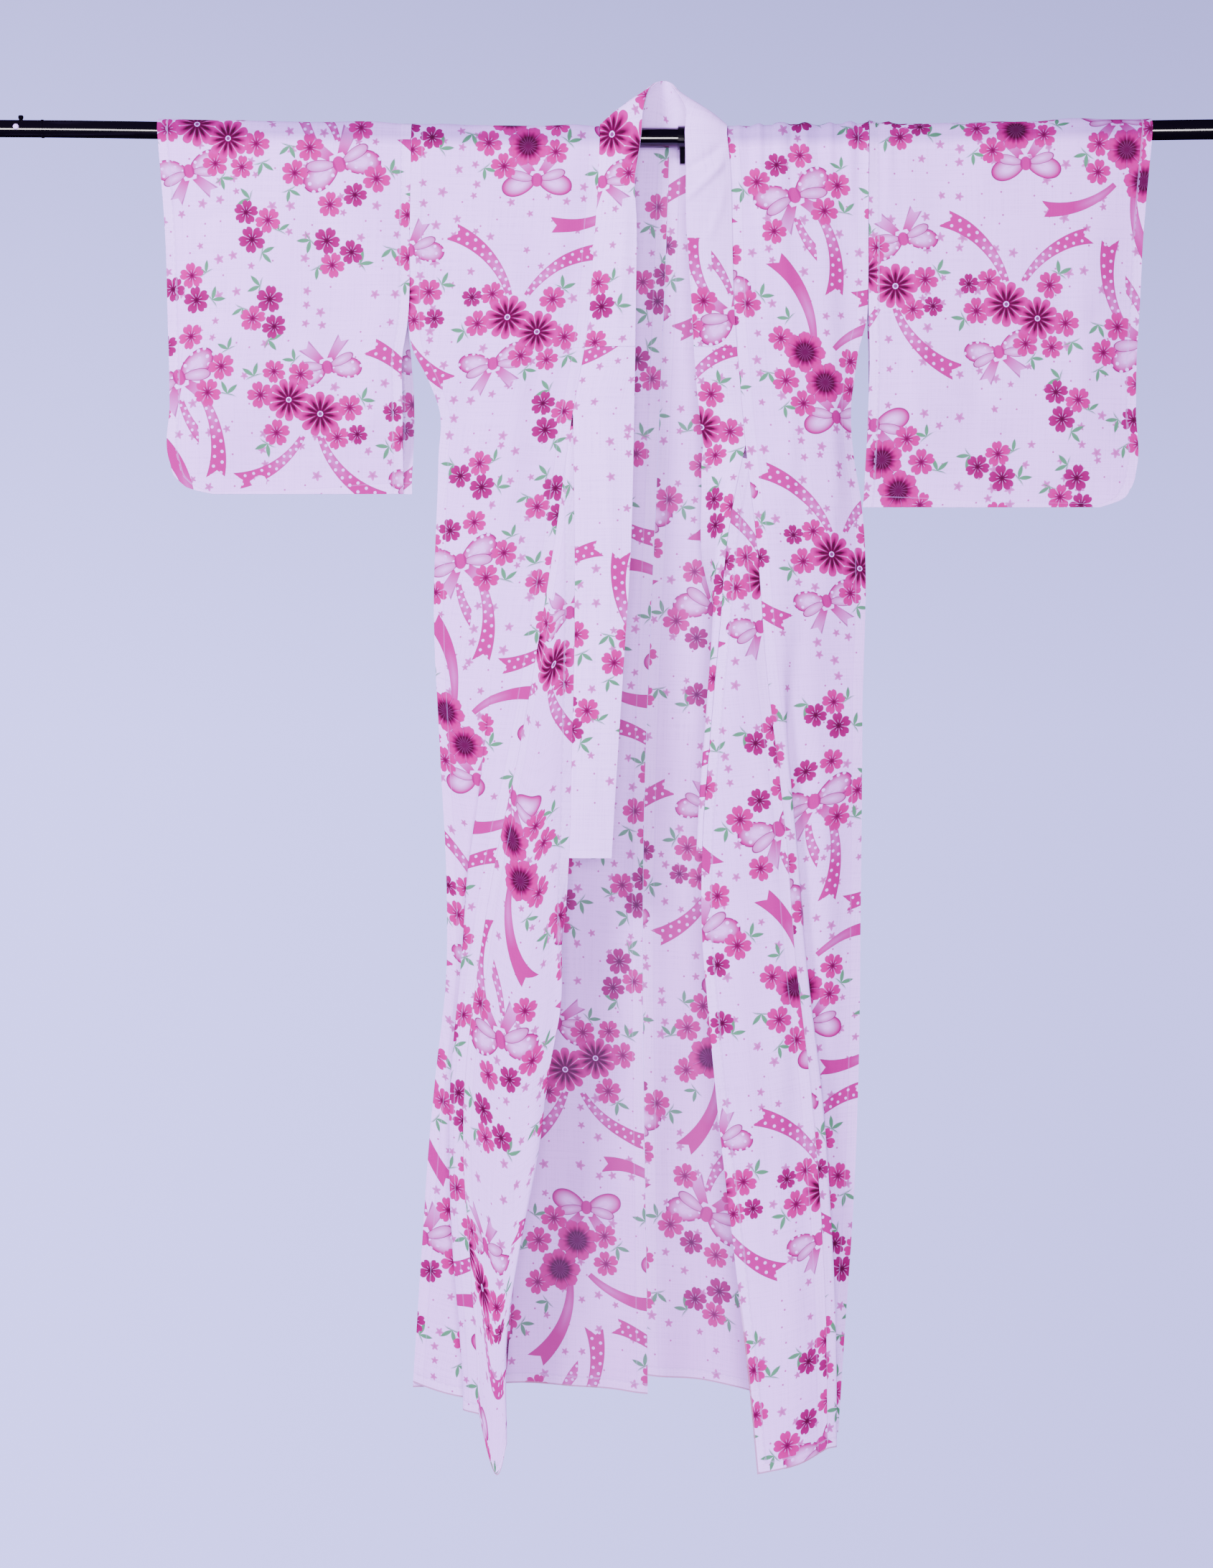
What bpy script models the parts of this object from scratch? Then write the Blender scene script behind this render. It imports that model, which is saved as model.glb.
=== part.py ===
"""Cotton yukata robe hung on a telescopic rod that passes through its sleeves.

Every cloth piece is a wall of even thickness round a middle surface.  A middle
surface is a loft: across the piece it passes through a few stations (seams,
edges and fold lines), and each station is a short table of where it hangs at
each height.  Tables are in millimetres with the columns z, x, y.  The frame has
+X to the wearer's left, +Y to the wearer's back and +Z up, with the origin on
the rod's axis, where the robe is held.
"""
import math

import bpy
import numpy as np

MM = 0.001

# Driving dimensions, in metres
CLOTH = 1.2 * MM             # wall of one layer of cloth
SEAM_GAP = 0.3 * MM          # air between two pieces at a seam
ROD_HALF = 0.900             # half of the rod's length
ROD_THICK_R = 12.75 * MM     # outer tube of the rod
ROD_THIN_R = 11.0 * MM       # inner tube of the rod
ROD_STEP_X = -0.120          # where the inner tube slides into the outer one
ROD_SAG = 12.0 * MM          # how far the middle hangs below the ends
TUBE_LIP, TUBE_POINTS = 0.004, 9   # short last run of a tube, and points between
CLAMP_R = 15.3 * MM          # clamp ring on the outer tube
CLAMP_X = (0.030, 0.042)     # ends of the clamp ring
CLAMP_SWELL = 3.0 * MM       # how far the neckline stands off to pass over the ring
CLAMP_SPREAD = 0.040         # distance along the rod within which it does so
CLAMP_STEPS = 28             # flats of the clamp ring
LEVER = (0.007, 0.008, 0.020)   # the clamp's lever: along the rod, in depth, in height
LEVER_ROOT = 1.0 * MM        # how far the lever starts inside the ring
WRAP_R = ROD_THICK_R + SEAM_GAP + CLOTH   # middle surface of cloth over the rod
SIDE_Y = (CLOTH + SEAM_GAP) / 2           # half distance of two layers sewn together
WRAP_ANGLES = (-90, -60, -30, 0, 30, 60, 90)   # rows over the rod, front to back
COLLAR_END_LEFT, COLLAR_END_RIGHT = -0.923, -0.914
OVER_COLLAR_END = -0.272     # lower ends of the over-collar
COLLAR_PROUD = 0.14          # angle, in radians, at which its free edge stands forward
COLLAR_COLUMNS = (0, 0.08, 0.16, 0.24, 0.32, 0.40, 0.60, 0.80, 1)
ROLL_SHARE = 0.36            # share of the collar's width within which it rolls
COLLAR_BULGE = 4.0 * MM      # crown of the collar's section

# ---------------------------------------------------------------- edge tables
# Wearer's right is at -X.  Rows run from the shoulder down to the hem.
WRAP = WRAP_R / MM
SEWN = SIDE_Y / MM

SIDE_LEFT = (   # side edge at -X: armhole, slit below it, side seam, flaring skirt
    (0, -311, -WRAP), (-120, -313, -13), (-200, -314.5, -12), (-240, -315, -11),
    (-272, -310, -10),
    (-305, -293, -9), (-353, -275, -5), (-410, -277, -SEWN), (-420, -277.2, -SEWN),
    (-607, -283, -SEWN),
    (-790, -275, -SEWN), (-948, -267, -SEWN), (-1088, -268, -SEWN),
    (-1194, -280, -SEWN), (-1299, -290, -SEWN), (-1402, -297, -SEWN),
    (-1600, -310, -SEWN))
PLEAT_LEFT_INNER = (   # hidden fold of the front at -X, behind the overlap panel
    (0, -225, -WRAP), (-244, -228, -17), (-410, -222, -22), (-700, -215, -22),
    (-948, -200, -18), (-1088, -186, -16), (-1194, -180, -15), (-1402, -178, -15),
    (-1600, -190, -15))
PLEAT_LEFT_OUTER = (   # fold of the same front that shows at its side
    (0, -140, -WRAP), (-244, -150, -20), (-410, -160, -27), (-700, -200, -28),
    (-948, -236, -28), (-1088, -250, -27), (-1194, -258, -27), (-1402, -257, -27),
    (-1600, -244, -27))
SEAM_LEFT = (   # collar seam down to -359, then the seam of the overlap panel
    (0, -70, -WRAP), (-61, -72, -15), (-150, -78, -17), (-250, -86, -20),
    (-359, -105, -24), (-504, -125, -29), (-630, -145, -33), (-775, -170, -36),
    (-931, -203, -38), (-1088, -228, -39), (-1194, -240, -39), (-1281, -243, -39),
    (-1425, -235, -39), (-1538, -227, -39), (-1628, -223, -39))
OVERLAP_FOLD_LEFT = (   # foremost line of the overlap panel at -X
    (-359, -104.5, -24), (-630, -121, -38), (-812, -132, -44), (-923, -136, -47),
    (-1025, -126, -48), (-1106, -122, -47), (-1186, -134, -47), (-1281, -147, -47),
    (-1409, -171, -47), (-1538, -190, -47), (-1663, -189, -47), (-1711, -189, -47))
COLLAR_SEAM_LEFT = (   # collar seam below the panel's point, and below -923 its free edge
    (-359, -104, -24), (-630, -102, -33), (-812, -106, -37), (-923, -109, -39),
    (-1025, -117, -37), (-1106, -131, -34), (-1186, -151, -32), (-1281, -175, -31),
    (-1409, -203, -30), (-1538, -213, -30), (-1663, -207, -30))
COLLAR_FREE_LEFT = (
    (0, -17, -22), (-23, -20, -23), (-56, -25, -24), (-110, -23, -25),
    (-217, -24, -27), (-340, -26, -32), (-539, -31, -39), (-683, -40, -43),
    (-804, -48, -45), (-923, -55, -47))
CENTRE_BACK = (
    (0, 20, WRAP), (-94, 17, 17), (-400, 5, 22), (-882, -13, 26), (-1607, -8, 28))
BACK_LEFT_MIDDLE = (
    (0, -150, WRAP), (-244, -155, 18), (-600, -150, 25), (-1100, -140, 29),
    (-1607, -150, 31))
BACK_RIGHT_MIDDLE = (
    (0, 150, WRAP), (-244, 140, 18), (-600, 130, 25), (-1100, 125, 29),
    (-1607, 115, 31))
SIDE_RIGHT = (   # side edge at +X
    (0, 274, -WRAP), (-120, 273.6, -13), (-200, 273.2, -12), (-233, 272, -11), (-272, 262, -10),
    (-311, 256, -8), (-350, 252, -5), (-410, 256, -SEWN), (-465, 265, -SEWN),
    (-745, 267, -SEWN), (-974, 265, -SEWN), (-1203, 262, -SEWN),
    (-1377, 255, -SEWN), (-1538, 244, -SEWN), (-1661, 236, -SEWN))
PLEAT_RIGHT_OUTER = (
    (0, 215, -WRAP), (-231, 213, -20), (-378, 210, -24), (-704, 213, -20),
    (-900, 214, -17), (-1216, 212, -15), (-1393, 208, -15), (-1660, 205, -15))
PLEAT_RIGHT_INNER = (   # hidden fold of the front at +X, behind the overlap panel
    (0, 165, -WRAP), (-231, 170, -22), (-378, 180, -28), (-564, 186, -28),
    (-704, 176, -23), (-817, 164, -20), (-900, 155, -19), (-1034, 148, -18),
    (-1216, 148, -18), (-1393, 156, -18), (-1660, 176, -18))
PLEAT_RIGHT_EDGE = (   # fold of the same front that shows beside the overlap panel
    (0, 127, -WRAP), (-231, 135, -24), (-400, 147, -32), (-516, 154, -34),
    (-704, 161, -34), (-817, 172, -33), (-900, 180, -32), (-1034, 190, -31),
    (-1216, 211, -31), (-1393, 224, -31), (-1505, 229, -31), (-1660, 231, -31))
SEAM_RIGHT = (   # collar seam down to -400, then the seam of the overlap panel
    (0, 93, -WRAP), (-49, 97, -15), (-131, 99, -17), (-231, 102, -21),
    (-308, 108, -25), (-400, 116, -29), (-516, 129, -33), (-704, 144, -36),
    (-817, 158, -37), (-900, 167, -38), (-1034, 177, -38), (-1216, 198, -38),
    (-1393, 212, -38), (-1505, 217, -38), (-1660, 219, -38))
OVERLAP_MIDDLE_RIGHT = (
    (-400, 115.5, -29), (-626, 108, -42), (-736, 106, -45), (-914, 108, -47),
    (-1111, 124, -47), (-1345, 152, -47), (-1570, 172, -47), (-1700, 180, -47))
COLLAR_SEAM_RIGHT = (   # collar seam below the panel's point, and below -914 its free edge
    (-400, 115, -29), (-450, 104, -34), (-529, 91, -38),
    (-626, 83, -41), (-736, 73, -43), (-914, 60, -44), (-1009, 59, -44),
    (-1111, 67, -43), (-1248, 80, -42), (-1447, 103, -41), (-1570, 117, -40),
    (-1708, 130, -40))
COLLAR_TURN_RIGHT = (   # z, width of the collar, degrees that it is rolled inwards
    (0, 55, 0), (-77, 59, 0), (-231, 55, 2), (-308, 56, 6), (-400, 54, 18),
    (-450, 52, 40), (-529, 52, 62), (-626, 52, 105), (-736, 52, 150),
    (-920, 52, 172))
# free edge of the collar where it stands up round the neck: share of the way
# from the left front to the right front, x, y, z
COLLAR_CREST = (
    (0.00, -17, -22, 0), (0.15, -14, -17, 34), (0.30, -5, -6, 62),
    (0.50, 15, 8, 75), (0.70, 30, -6, 56), (0.85, 40, -17, 32), (1.00, 38, -22, 0))

# -------------------------------------------------------------- sleeve tables
# z, x of the open inner edge on the front, the same on the back, x outside
SLEEVE_LEFT = (
    (0, -311, -311, -636), (-120, -313, -313, -628), (-250, -317, -316, -624),
    (-280, -322, -313, -623), (-342, -322, -309, -622), (-415, -322, -310, -622),
    (-440, -322, -311, -610), (-452, -322, -311, -590), (-457, -322, -311, -566))
SLEEVE_RIGHT = (
    (0, 274, 274, 637), (-120, 274, 274, 628), (-233, 274, 274, 622),
    (-280, 275, 276, 619), (-350, 273, 276, 618), (-423, 270, 274, 619),
    (-450, 269, 273, 611), (-466, 268, 272, 596), (-474, 267, 271, 572))
SLEEVE_SPREAD = 0.080        # how soon the two layers part from the outer seam
SLEEVE_FLOOR = 0.130         # height above the bottom seam at which they are fully apart
SLEEVE_SHOULDER = 0.160      # drop from the rod within which they hang straight down
SLEEVE_FALL = tuple(np.linspace(0, 0.86, 12)) + (0.90, 0.94, 0.97, 0.988, 1.0)

# --------------------------------------------------------------------- hems
# Columns: share of the way across the panel, height of the hem in metres
HEM_FRONT_LEFT = ((0, -1.597), (0.5, -1.620), (1, -1.629))
HEM_OVERLAP_LEFT = ((0, -1.629), (0.30, -1.704), (0.55, -1.664), (1, -1.655))
HEM_BACK_LEFT = ((0, -1.603), (0.5, -1.606), (1, -1.618))
HEM_BACK_RIGHT = ((0, -1.594), (0.5, -1.612), (1, -1.661))
HEM_FRONT_RIGHT = ((0, -1.673), (0.5, -1.668), (1, -1.660))
HEM_OVERLAP_RIGHT = ((0, -1.705), (0.5, -1.692), (1, -1.673))

# Rows of a front: the overlap panel's point, and the rows above and below it
POINT_LEFT, POINT_RIGHT = -0.359, -0.400
POINT_STEP = -0.014          # from the point to the panel's first full row
ROWS_ABOVE, ROWS_BELOW = 7, 18
COLUMNS_LEFT, COLUMNS_RIGHT, COLUMNS_OVERLAP, COLUMNS_SLEEVE = 15, 23, 10, 8
BACK_FALL = np.linspace(0, 1, 19) ** 1.15   # rows of a back, as shares of its length

# Small gathers of the cloth bunched on the rod at +X: from x, to x, how many
GATHER_X = (0.095, 0.345)
GATHER_COUNT = 9
GATHER_DEPTH = 3.2 * MM
GATHER_DROP = 0.170          # how far below the rod they fade away
GATHER_ENDS = (0.12, 0.25)   # shares of their run within which they start and end

# Soft vertical folds of the back: folds to each FOLD_SPAN across, and their depth
FOLD_SPAN = 0.280
FOLD_COUNT = 2.6
FOLD_DEPTH = 8.0 * MM
FOLD_TOP, FOLD_GROW = -0.080, 1.100   # where they start, and how far they take to grow
FOLD_LEAN, FOLD_TURNS = 0.25, 2.1     # how far they wander sideways, and how often
FOLD_FREE = (0.25, 0.12)     # shares within which they fade: at a side, at the centre

LIFT_DROP = 0.350            # drop from the rod within which its sag is felt
RING_DROP = 0.050            # drop from the rod within which the clamp's swell is felt
NECK_TURN = (5, 85)          # degrees over the rod: where the neckline turns, for how long
CREST_BAND = 0.020           # height under the rod within which the neck seam widens
CROWN_DROP = 0.300           # drop within which the rolled side loses its crown
LEAST_ROW = 0.010            # least height of the collar's last row


# ------------------------------------------------------------------ numerics
def slopes(knots, values):
    """Tangent at each knot: the mean of its two neighbouring slopes by distance."""
    step = np.diff(knots)
    rise = np.diff(values, axis=0) / step.reshape((-1,) + (1,) * (values.ndim - 1))
    inner = [(rise[i] * step[i + 1] + rise[i + 1] * step[i]) / (step[i] + step[i + 1])
             for i in range(len(step) - 1)]
    return np.array([rise[0]] + inner + [rise[-1]])


def smooth(knots, values, at):
    """Cubic curve through values at knots, read at the points given."""
    knots, values = np.asarray(knots, float), np.asarray(values, float)
    at = np.clip(at, knots[0], knots[-1])
    i = np.clip(np.searchsorted(knots, at, side="right") - 1, 0, len(knots) - 2)
    h = knots[i + 1] - knots[i]
    t = (at - knots[i]) / h
    m = slopes(knots, values)
    return ((1 + 2 * t) * (1 - t) ** 2 * values[i] + t * (1 - t) ** 2 * h * m[i]
            + t * t * (3 - 2 * t) * values[i + 1] + t * t * (t - 1) * h * m[i + 1])


def hang(table, z, column):
    """One column of a z, x, y table, in metres, at the heights z."""
    rows = np.array(table, float)[::-1] * MM
    return smooth(rows[:, 0], rows[:, column], z)


def mirrored(table):
    """A front's station moved to the back layer: the same heights and places, y turned."""
    return tuple((z, x, -y) for z, x, y in table)


def ease(t):
    """Smooth step from 0 to 1."""
    t = np.clip(t, 0.0, 1.0)
    return t * t * (3 - 2 * t)


def rod_height(x):
    """Height of the sagging rod's axis, level at both ends and in the middle."""
    return ROD_SAG / 2 * (1 - np.cos(math.pi * x / ROD_HALF))


def lift(x, z):
    """How far cloth at height z is raised by the rod's sag at x."""
    return rod_height(x) * ease(1 + z / LIFT_DROP)


def swell(x, below):
    """How far cloth stands off the rod: gathers beside the neck, and the clamp ring."""
    past = np.maximum(0, np.maximum(CLAMP_X[0] - x, x - CLAMP_X[1]))
    ring = CLAMP_SWELL * ease(1 - past / CLAMP_SPREAD) * ease(1 - below / RING_DROP)
    along = (x - GATHER_X[0]) / (GATHER_X[1] - GATHER_X[0])
    ends = ease(along / GATHER_ENDS[0]) * ease((1 - along) / GATHER_ENDS[1])
    wave = 0.5 - 0.5 * np.cos(2 * math.pi * GATHER_COUNT * along + 0.9 * np.sin(9 * along))
    return ring + GATHER_DEPTH * ends * wave * ease(1 - below / GATHER_DROP)


def across(stations, marks, u, z):
    """Points at shares u and heights z of a loft through the station tables."""
    basis = np.eye(len(marks))
    weights = [smooth(marks, basis[k], u) for k in range(len(marks))]
    x = sum(w * hang(table, z, 1) for w, table in zip(weights, stations))
    y = sum(w * hang(table, z, 2) for w, table in zip(weights, stations))
    return x, y


def hem_height(hem, u):
    """Height of the hem at shares u of the way across."""
    shares, heights = zip(*hem)
    return smooth(shares, heights, u)


# ------------------------------------------------------------ cloth surfaces
def row_heights(point, hem):
    """Heights of a front's rows along the seam of its overlap panel."""
    above = np.linspace(0, point, ROWS_ABOVE + 1)
    below = np.linspace(point, hem, ROWS_BELOW + 1)[1:]
    return np.concatenate((above, [point + POINT_STEP], below))


def slanted(heights, point, hem, bottom):
    """The same rows where the hem is at another height: only those below the point move."""
    drop = (bottom - point) / (hem - point)
    return np.where(heights < point, point + (heights - point) * drop, heights)


def front_panel(stations, marks, point, seam, hem, columns):
    """Grid of a front from the rod down to its hem, row by row.

    seam is the share, 0 or 1, at which the rows keep the heights of the shared seam.
    """
    u = np.linspace(0, 1, columns + 1)[None, :]
    seam_hem = hem[-seam][1]
    heights = row_heights(point, seam_hem)[:, None]
    z = slanted(heights, point, seam_hem, hem_height(hem, u))
    x, y = across(stations, marks, u, z)
    return x, y, z


def fold_wave(x, z, phase):
    """How far the soft vertical folds push a back outwards."""
    grow = ease((FOLD_TOP - z) / FOLD_GROW)
    lean = FOLD_LEAN * np.sin(FOLD_TURNS * z + phase)
    turns = FOLD_COUNT * x / FOLD_SPAN + lean
    return FOLD_DEPTH * grow * (1 - np.cos(2 * math.pi * turns + phase)) / 2


def neck_share(degrees):
    """How far the neckline has run from the front's edge to the centre back seam."""
    return ease((degrees - NECK_TURN[0]) / NECK_TURN[1])


def strip_over_rod(front, back):
    """One strip: up the front, over the rod, and down the back.

    front and back are grids whose first rows are at the rod, with equal columns.
    """
    rows = []
    fx, fy, fz = front
    bx, by, bz = back
    for i in range(len(fx) - 1, -1, -1):
        bump = swell(fx[i], -fz[i])
        rows.append((fx[i], fy[i] - bump, fz[i] + lift(fx[i], fz[i])))
    for degrees in WRAP_ANGLES[1:-1]:
        x = fx[0] + (bx[0] - fx[0]) * neck_share(degrees)
        angle = math.radians(degrees)
        reach = WRAP_R + swell(x, 0)
        rows.append((x, reach * math.sin(angle), rod_height(x) + reach * math.cos(angle)))
    for i in range(len(bx)):
        bump = swell(bx[i], -bz[i])
        rows.append((bx[i], by[i] + bump, bz[i] + lift(bx[i], bz[i])))
    return np.array([np.stack(np.broadcast_arrays(*row), axis=-1) for row in rows])


def inset_sides(grid, first, last):
    """Pull the two side edges of a grid in by the seam gaps given."""
    grid = grid.copy()
    for edge, inner, gap in ((0, 1, first), (-1, -2, last)):
        way = grid[:, inner] - grid[:, edge]
        length = np.linalg.norm(way, axis=1, keepdims=True)
        grid[:, edge] += way / length * gap
    return grid


def parted(grid):
    """A strip parted where it meets and leaves the rod: front, part over the rod, back.

    Each part gives way by a whole seam gap, because their inner faces lean together.
    """
    meets = 1 + ROWS_ABOVE + ROWS_BELOW
    leaves = meets + len(WRAP_ANGLES) - 1
    parts = (grid[:meets + 1].copy(), grid[meets:leaves + 1].copy(), grid[leaves:].copy())
    for part, edge, inner in ((parts[0], -1, -2), (parts[1], 0, 1),
                              (parts[1], -1, -2), (parts[2], 0, 1)):
        way = part[inner] - part[edge]
        part[edge] += way / np.linalg.norm(way, axis=1, keepdims=True) * SEAM_GAP
    return parts


def body_left_grid():
    """Right half of the wearer's body cloth (at -X), front and back in one strip."""
    front = front_panel((SIDE_LEFT, PLEAT_LEFT_INNER, PLEAT_LEFT_OUTER, SEAM_LEFT),
                        (0, 0.38, 0.74, 1), POINT_LEFT, 1, HEM_FRONT_LEFT, COLUMNS_LEFT)
    u = np.linspace(0, 1, COLUMNS_LEFT + 1)[None, :]
    fall = BACK_FALL[:, None]
    z = hem_height(HEM_BACK_LEFT, u) * fall
    x, y = across((mirrored(SIDE_LEFT), BACK_LEFT_MIDDLE, CENTRE_BACK), (0, 0.5, 1), u, z)
    y = y + fold_wave(x, z, 0.4) * ease(u / FOLD_FREE[0]) * ease((1 - u) / FOLD_FREE[1])
    return inset_sides(strip_over_rod(front, (x, y, z)), SEAM_GAP / 2, SEAM_GAP / 2)


def body_right_grid():
    """Left half of the wearer's body cloth (at +X), front and back in one strip."""
    front = front_panel((SEAM_RIGHT, PLEAT_RIGHT_EDGE, PLEAT_RIGHT_INNER,
                         PLEAT_RIGHT_OUTER, SIDE_RIGHT),
                        (0, 0.19, 0.45, 0.74, 1), POINT_RIGHT, 0, HEM_FRONT_RIGHT,
                        COLUMNS_RIGHT)
    u = np.linspace(0, 1, COLUMNS_RIGHT + 1)[None, :]
    fall = BACK_FALL[:, None]
    z = hem_height(HEM_BACK_RIGHT, u) * fall
    x, y = across((CENTRE_BACK, BACK_RIGHT_MIDDLE, mirrored(SIDE_RIGHT)), (0, 0.5, 1), u, z)
    y = y + fold_wave(x, z, 1.9) * ease(u / FOLD_FREE[1]) * ease((1 - u) / FOLD_FREE[0])
    return inset_sides(strip_over_rod(front, (x, y, z)), SEAM_GAP / 2, SEAM_GAP / 2)


def overlap_grid(stations, marks, point, seam, hem):
    """A long overlap panel that tapers to a point at its top."""
    x, y, z = front_panel(stations, marks, point, seam, hem, COLUMNS_OVERLAP)
    x, y, z = (np.broadcast_to(part, x.shape)[ROWS_ABOVE + 1:] for part in (x, y, z))
    return inset_sides(np.stack(np.broadcast_arrays(x, y, z + lift(x, z)), axis=-1),
                       SEAM_GAP / 2, SEAM_GAP / 2)


def sleeve_grid(table, side):
    """Sleeve bag folded over the rod: front layer, arc over the rod, back layer."""
    rows = np.array(table, float)[::-1] * MM
    bottom = rows[0, 0]
    z = bottom * np.array(SLEEVE_FALL)[:, None]
    u = np.linspace(0, 1, COLUMNS_SLEEVE + 1)[None, :]
    outside = smooth(rows[:, 0], rows[:, 3], z)
    layers = []
    for column, face in ((1, -1), (2, 1)):
        inside = smooth(rows[:, 0], rows[:, column], z)
        x = inside + (outside - inside) * u
        room = ease((z - bottom) / SLEEVE_FLOOR)
        reach = ease(np.abs(outside - x) / SLEEVE_SPREAD)
        near_rod = ease(1 + z / SLEEVE_SHOULDER)
        part = room * (near_rod + (1 - near_rod) * reach)
        y = face * (SIDE_Y + (WRAP_R - SIDE_Y) * part)
        layers.append((x, y, z + 0 * x))
    return inset_sides(strip_over_rod(*layers), SEAM_GAP / 2, 0)


def collar_rows(point, seam_hem, edge_hem, end):
    """Heights of the collar's rows: those of the edge that it is sewn to, down to its end."""
    heights = slanted(row_heights(point, seam_hem), point, seam_hem, edge_hem)
    return np.append(heights[heights > end + LEAST_ROW], end)


def hanging_line(table, heights):
    """Points of a station table at the rows' heights, joined by straight runs."""
    x, y = hang(table, heights, 1), hang(table, heights, 2)
    return np.stack((x, y, heights + lift(x, heights)), axis=-1)


def collar_line(seam_table, edge_table, point, heights):
    """Where the collar is sewn on: to the body above the point, to the panel below it."""
    above = hanging_line(seam_table, heights)
    below = hanging_line(edge_table, heights)
    return np.where(heights[:, None] < point, below, above)


def neck_line():
    """Neckline over the rod, from the front at -X round the back to the front at +X."""
    points = []
    for front_x, angles in ((SEAM_LEFT[0][1], WRAP_ANGLES[1:]),
                            (SEAM_RIGHT[0][1], WRAP_ANGLES[-2:0:-1])):
        for degrees in angles:
            x = (front_x + (CENTRE_BACK[0][1] - front_x) * neck_share(degrees)) * MM
            angle = math.radians(degrees)
            reach = WRAP_R + swell(x, 0)
            points.append((x, reach * math.sin(angle),
                           rod_height(x) + reach * math.cos(angle)))
    return np.array(points)


def rolled_sections(seam, u):
    """Sections of the collar at +X: flat at the neck, and rolled inwards lower down."""
    turn = np.array(COLLAR_TURN_RIGHT, float)[::-1]
    width = smooth(turn[:, 0] * MM, turn[:, 1], seam[:, 2])[:, None] * MM
    roll = np.radians(smooth(turn[:, 0] * MM, turn[:, 2], seam[:, 2]))[:, None]
    fine = np.linspace(0, 1, 81)[None, :]
    heading = roll * ease(fine / ROLL_SHARE) - COLLAR_PROUD * ease(1 - roll)
    step = width / (fine.size - 1)
    run = np.cumsum(np.cos(heading) * step, axis=1) - np.cos(heading[:, :1]) * step
    rise = np.cumsum(np.sin(heading) * step, axis=1) - np.sin(heading[:, :1]) * step
    pick = np.round(u * (fine.size - 1)).astype(int)
    sections = np.repeat(seam[:, None], len(u), axis=1)
    sections[:, :, 0] -= run[:, pick]
    sections[:, :, 1] += rise[:, pick]
    return sections


def collar_grid(out=0.0, covered=None):
    """Collar band from its end at -X, round the neck, to its end at +X.

    covered keeps only the rows above that height; out moves the band outwards.
    """
    left = collar_rows(POINT_LEFT, HEM_OVERLAP_LEFT[0][1], HEM_OVERLAP_LEFT[-1][1],
                       COLLAR_END_LEFT)
    right = collar_rows(POINT_RIGHT, HEM_OVERLAP_RIGHT[-1][1], HEM_OVERLAP_RIGHT[0][1],
                        COLLAR_END_RIGHT)
    neck = neck_line()
    seam_right = collar_line(SEAM_RIGHT, COLLAR_SEAM_RIGHT, POINT_RIGHT, right)
    seam = np.concatenate((collar_line(SEAM_LEFT, COLLAR_SEAM_LEFT, POINT_LEFT, left[::-1]),
                           neck, seam_right))
    crest = np.array(COLLAR_CREST, float)
    shares = np.linspace(0, 1, len(neck) + 2)[1:-1]
    free_neck = np.stack([smooth(crest[:, 0], crest[:, k], shares) * MM for k in (1, 2, 3)],
                         axis=-1)
    free_left = np.concatenate((hanging_line(COLLAR_FREE_LEFT, left[::-1]), free_neck))
    plain = seam[:len(free_left)]
    u = np.array(COLLAR_COLUMNS)
    flat = plain[:, None] + (free_left - plain)[:, None] * u[None, :, None]
    grid = np.concatenate((flat, rolled_sections(seam_right, u)))
    normal = np.cross(np.gradient(grid, axis=1), np.gradient(grid, axis=0))
    normal /= np.linalg.norm(normal, axis=2, keepdims=True)
    at_neck = ease((seam[:, 2] + CREST_BAND) / CREST_BAND)[:, None]
    bulge = COLLAR_BULGE * np.sin(math.pi * u)[None, :, None] * np.ones((len(grid), 1, 1))
    bulge[len(free_left):] *= ease(1 + seam_right[:, 2] / CROWN_DROP)[:, None, None]
    grid = inset_sides(grid + normal * bulge, SEAM_GAP * (1 + 2 * at_neck), 0)
    grid = grid + normal * out
    return grid if covered is None else cut_below(grid, covered)


def cut_below(grid, height):
    """The rows of a band above a height, with its two ends cut level there."""
    level = grid[:, 0, 2]
    first = int(np.argmax(level > height))
    last = len(grid) - 1 - int(np.argmax(level[::-1] > height))
    ends = []
    for inside, outside in ((first, first - 1), (last, last + 1)):
        share = (level[inside] - height) / (level[inside] - level[outside])
        ends.append(grid[inside] + (grid[outside] - grid[inside]) * share)
    return np.concatenate((ends[:1], grid[first:last + 1], ends[1:]))


# ------------------------------------------------------------------- objects
def material(name, colour, roughness, metallic=0.0):
    made = bpy.data.materials.new(name)
    made.use_nodes = True
    shader = made.node_tree.nodes["Principled BSDF"]
    shader.inputs["Base Color"].default_value = (*colour, 1)
    shader.inputs["Roughness"].default_value = roughness
    shader.inputs["Metallic"].default_value = metallic
    return made


def cloth(name, grid, look, collection):
    """A wall of cloth round the grid's surface."""
    rows, columns = grid.shape[:2]
    faces = [(r * columns + c, r * columns + c + 1,
              (r + 1) * columns + c + 1, (r + 1) * columns + c)
             for r in range(rows - 1) for c in range(columns - 1)]
    mesh = bpy.data.meshes.new(name)
    mesh.from_pydata(grid.reshape(-1, 3).tolist(), [], faces)
    mesh.shade_smooth()
    mesh.materials.append(look)
    made = bpy.data.objects.new(name, mesh)
    collection.objects.link(made)
    wall = made.modifiers.new("wall", "SOLIDIFY")
    wall.thickness = CLOTH
    wall.offset = 0
    return made


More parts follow.
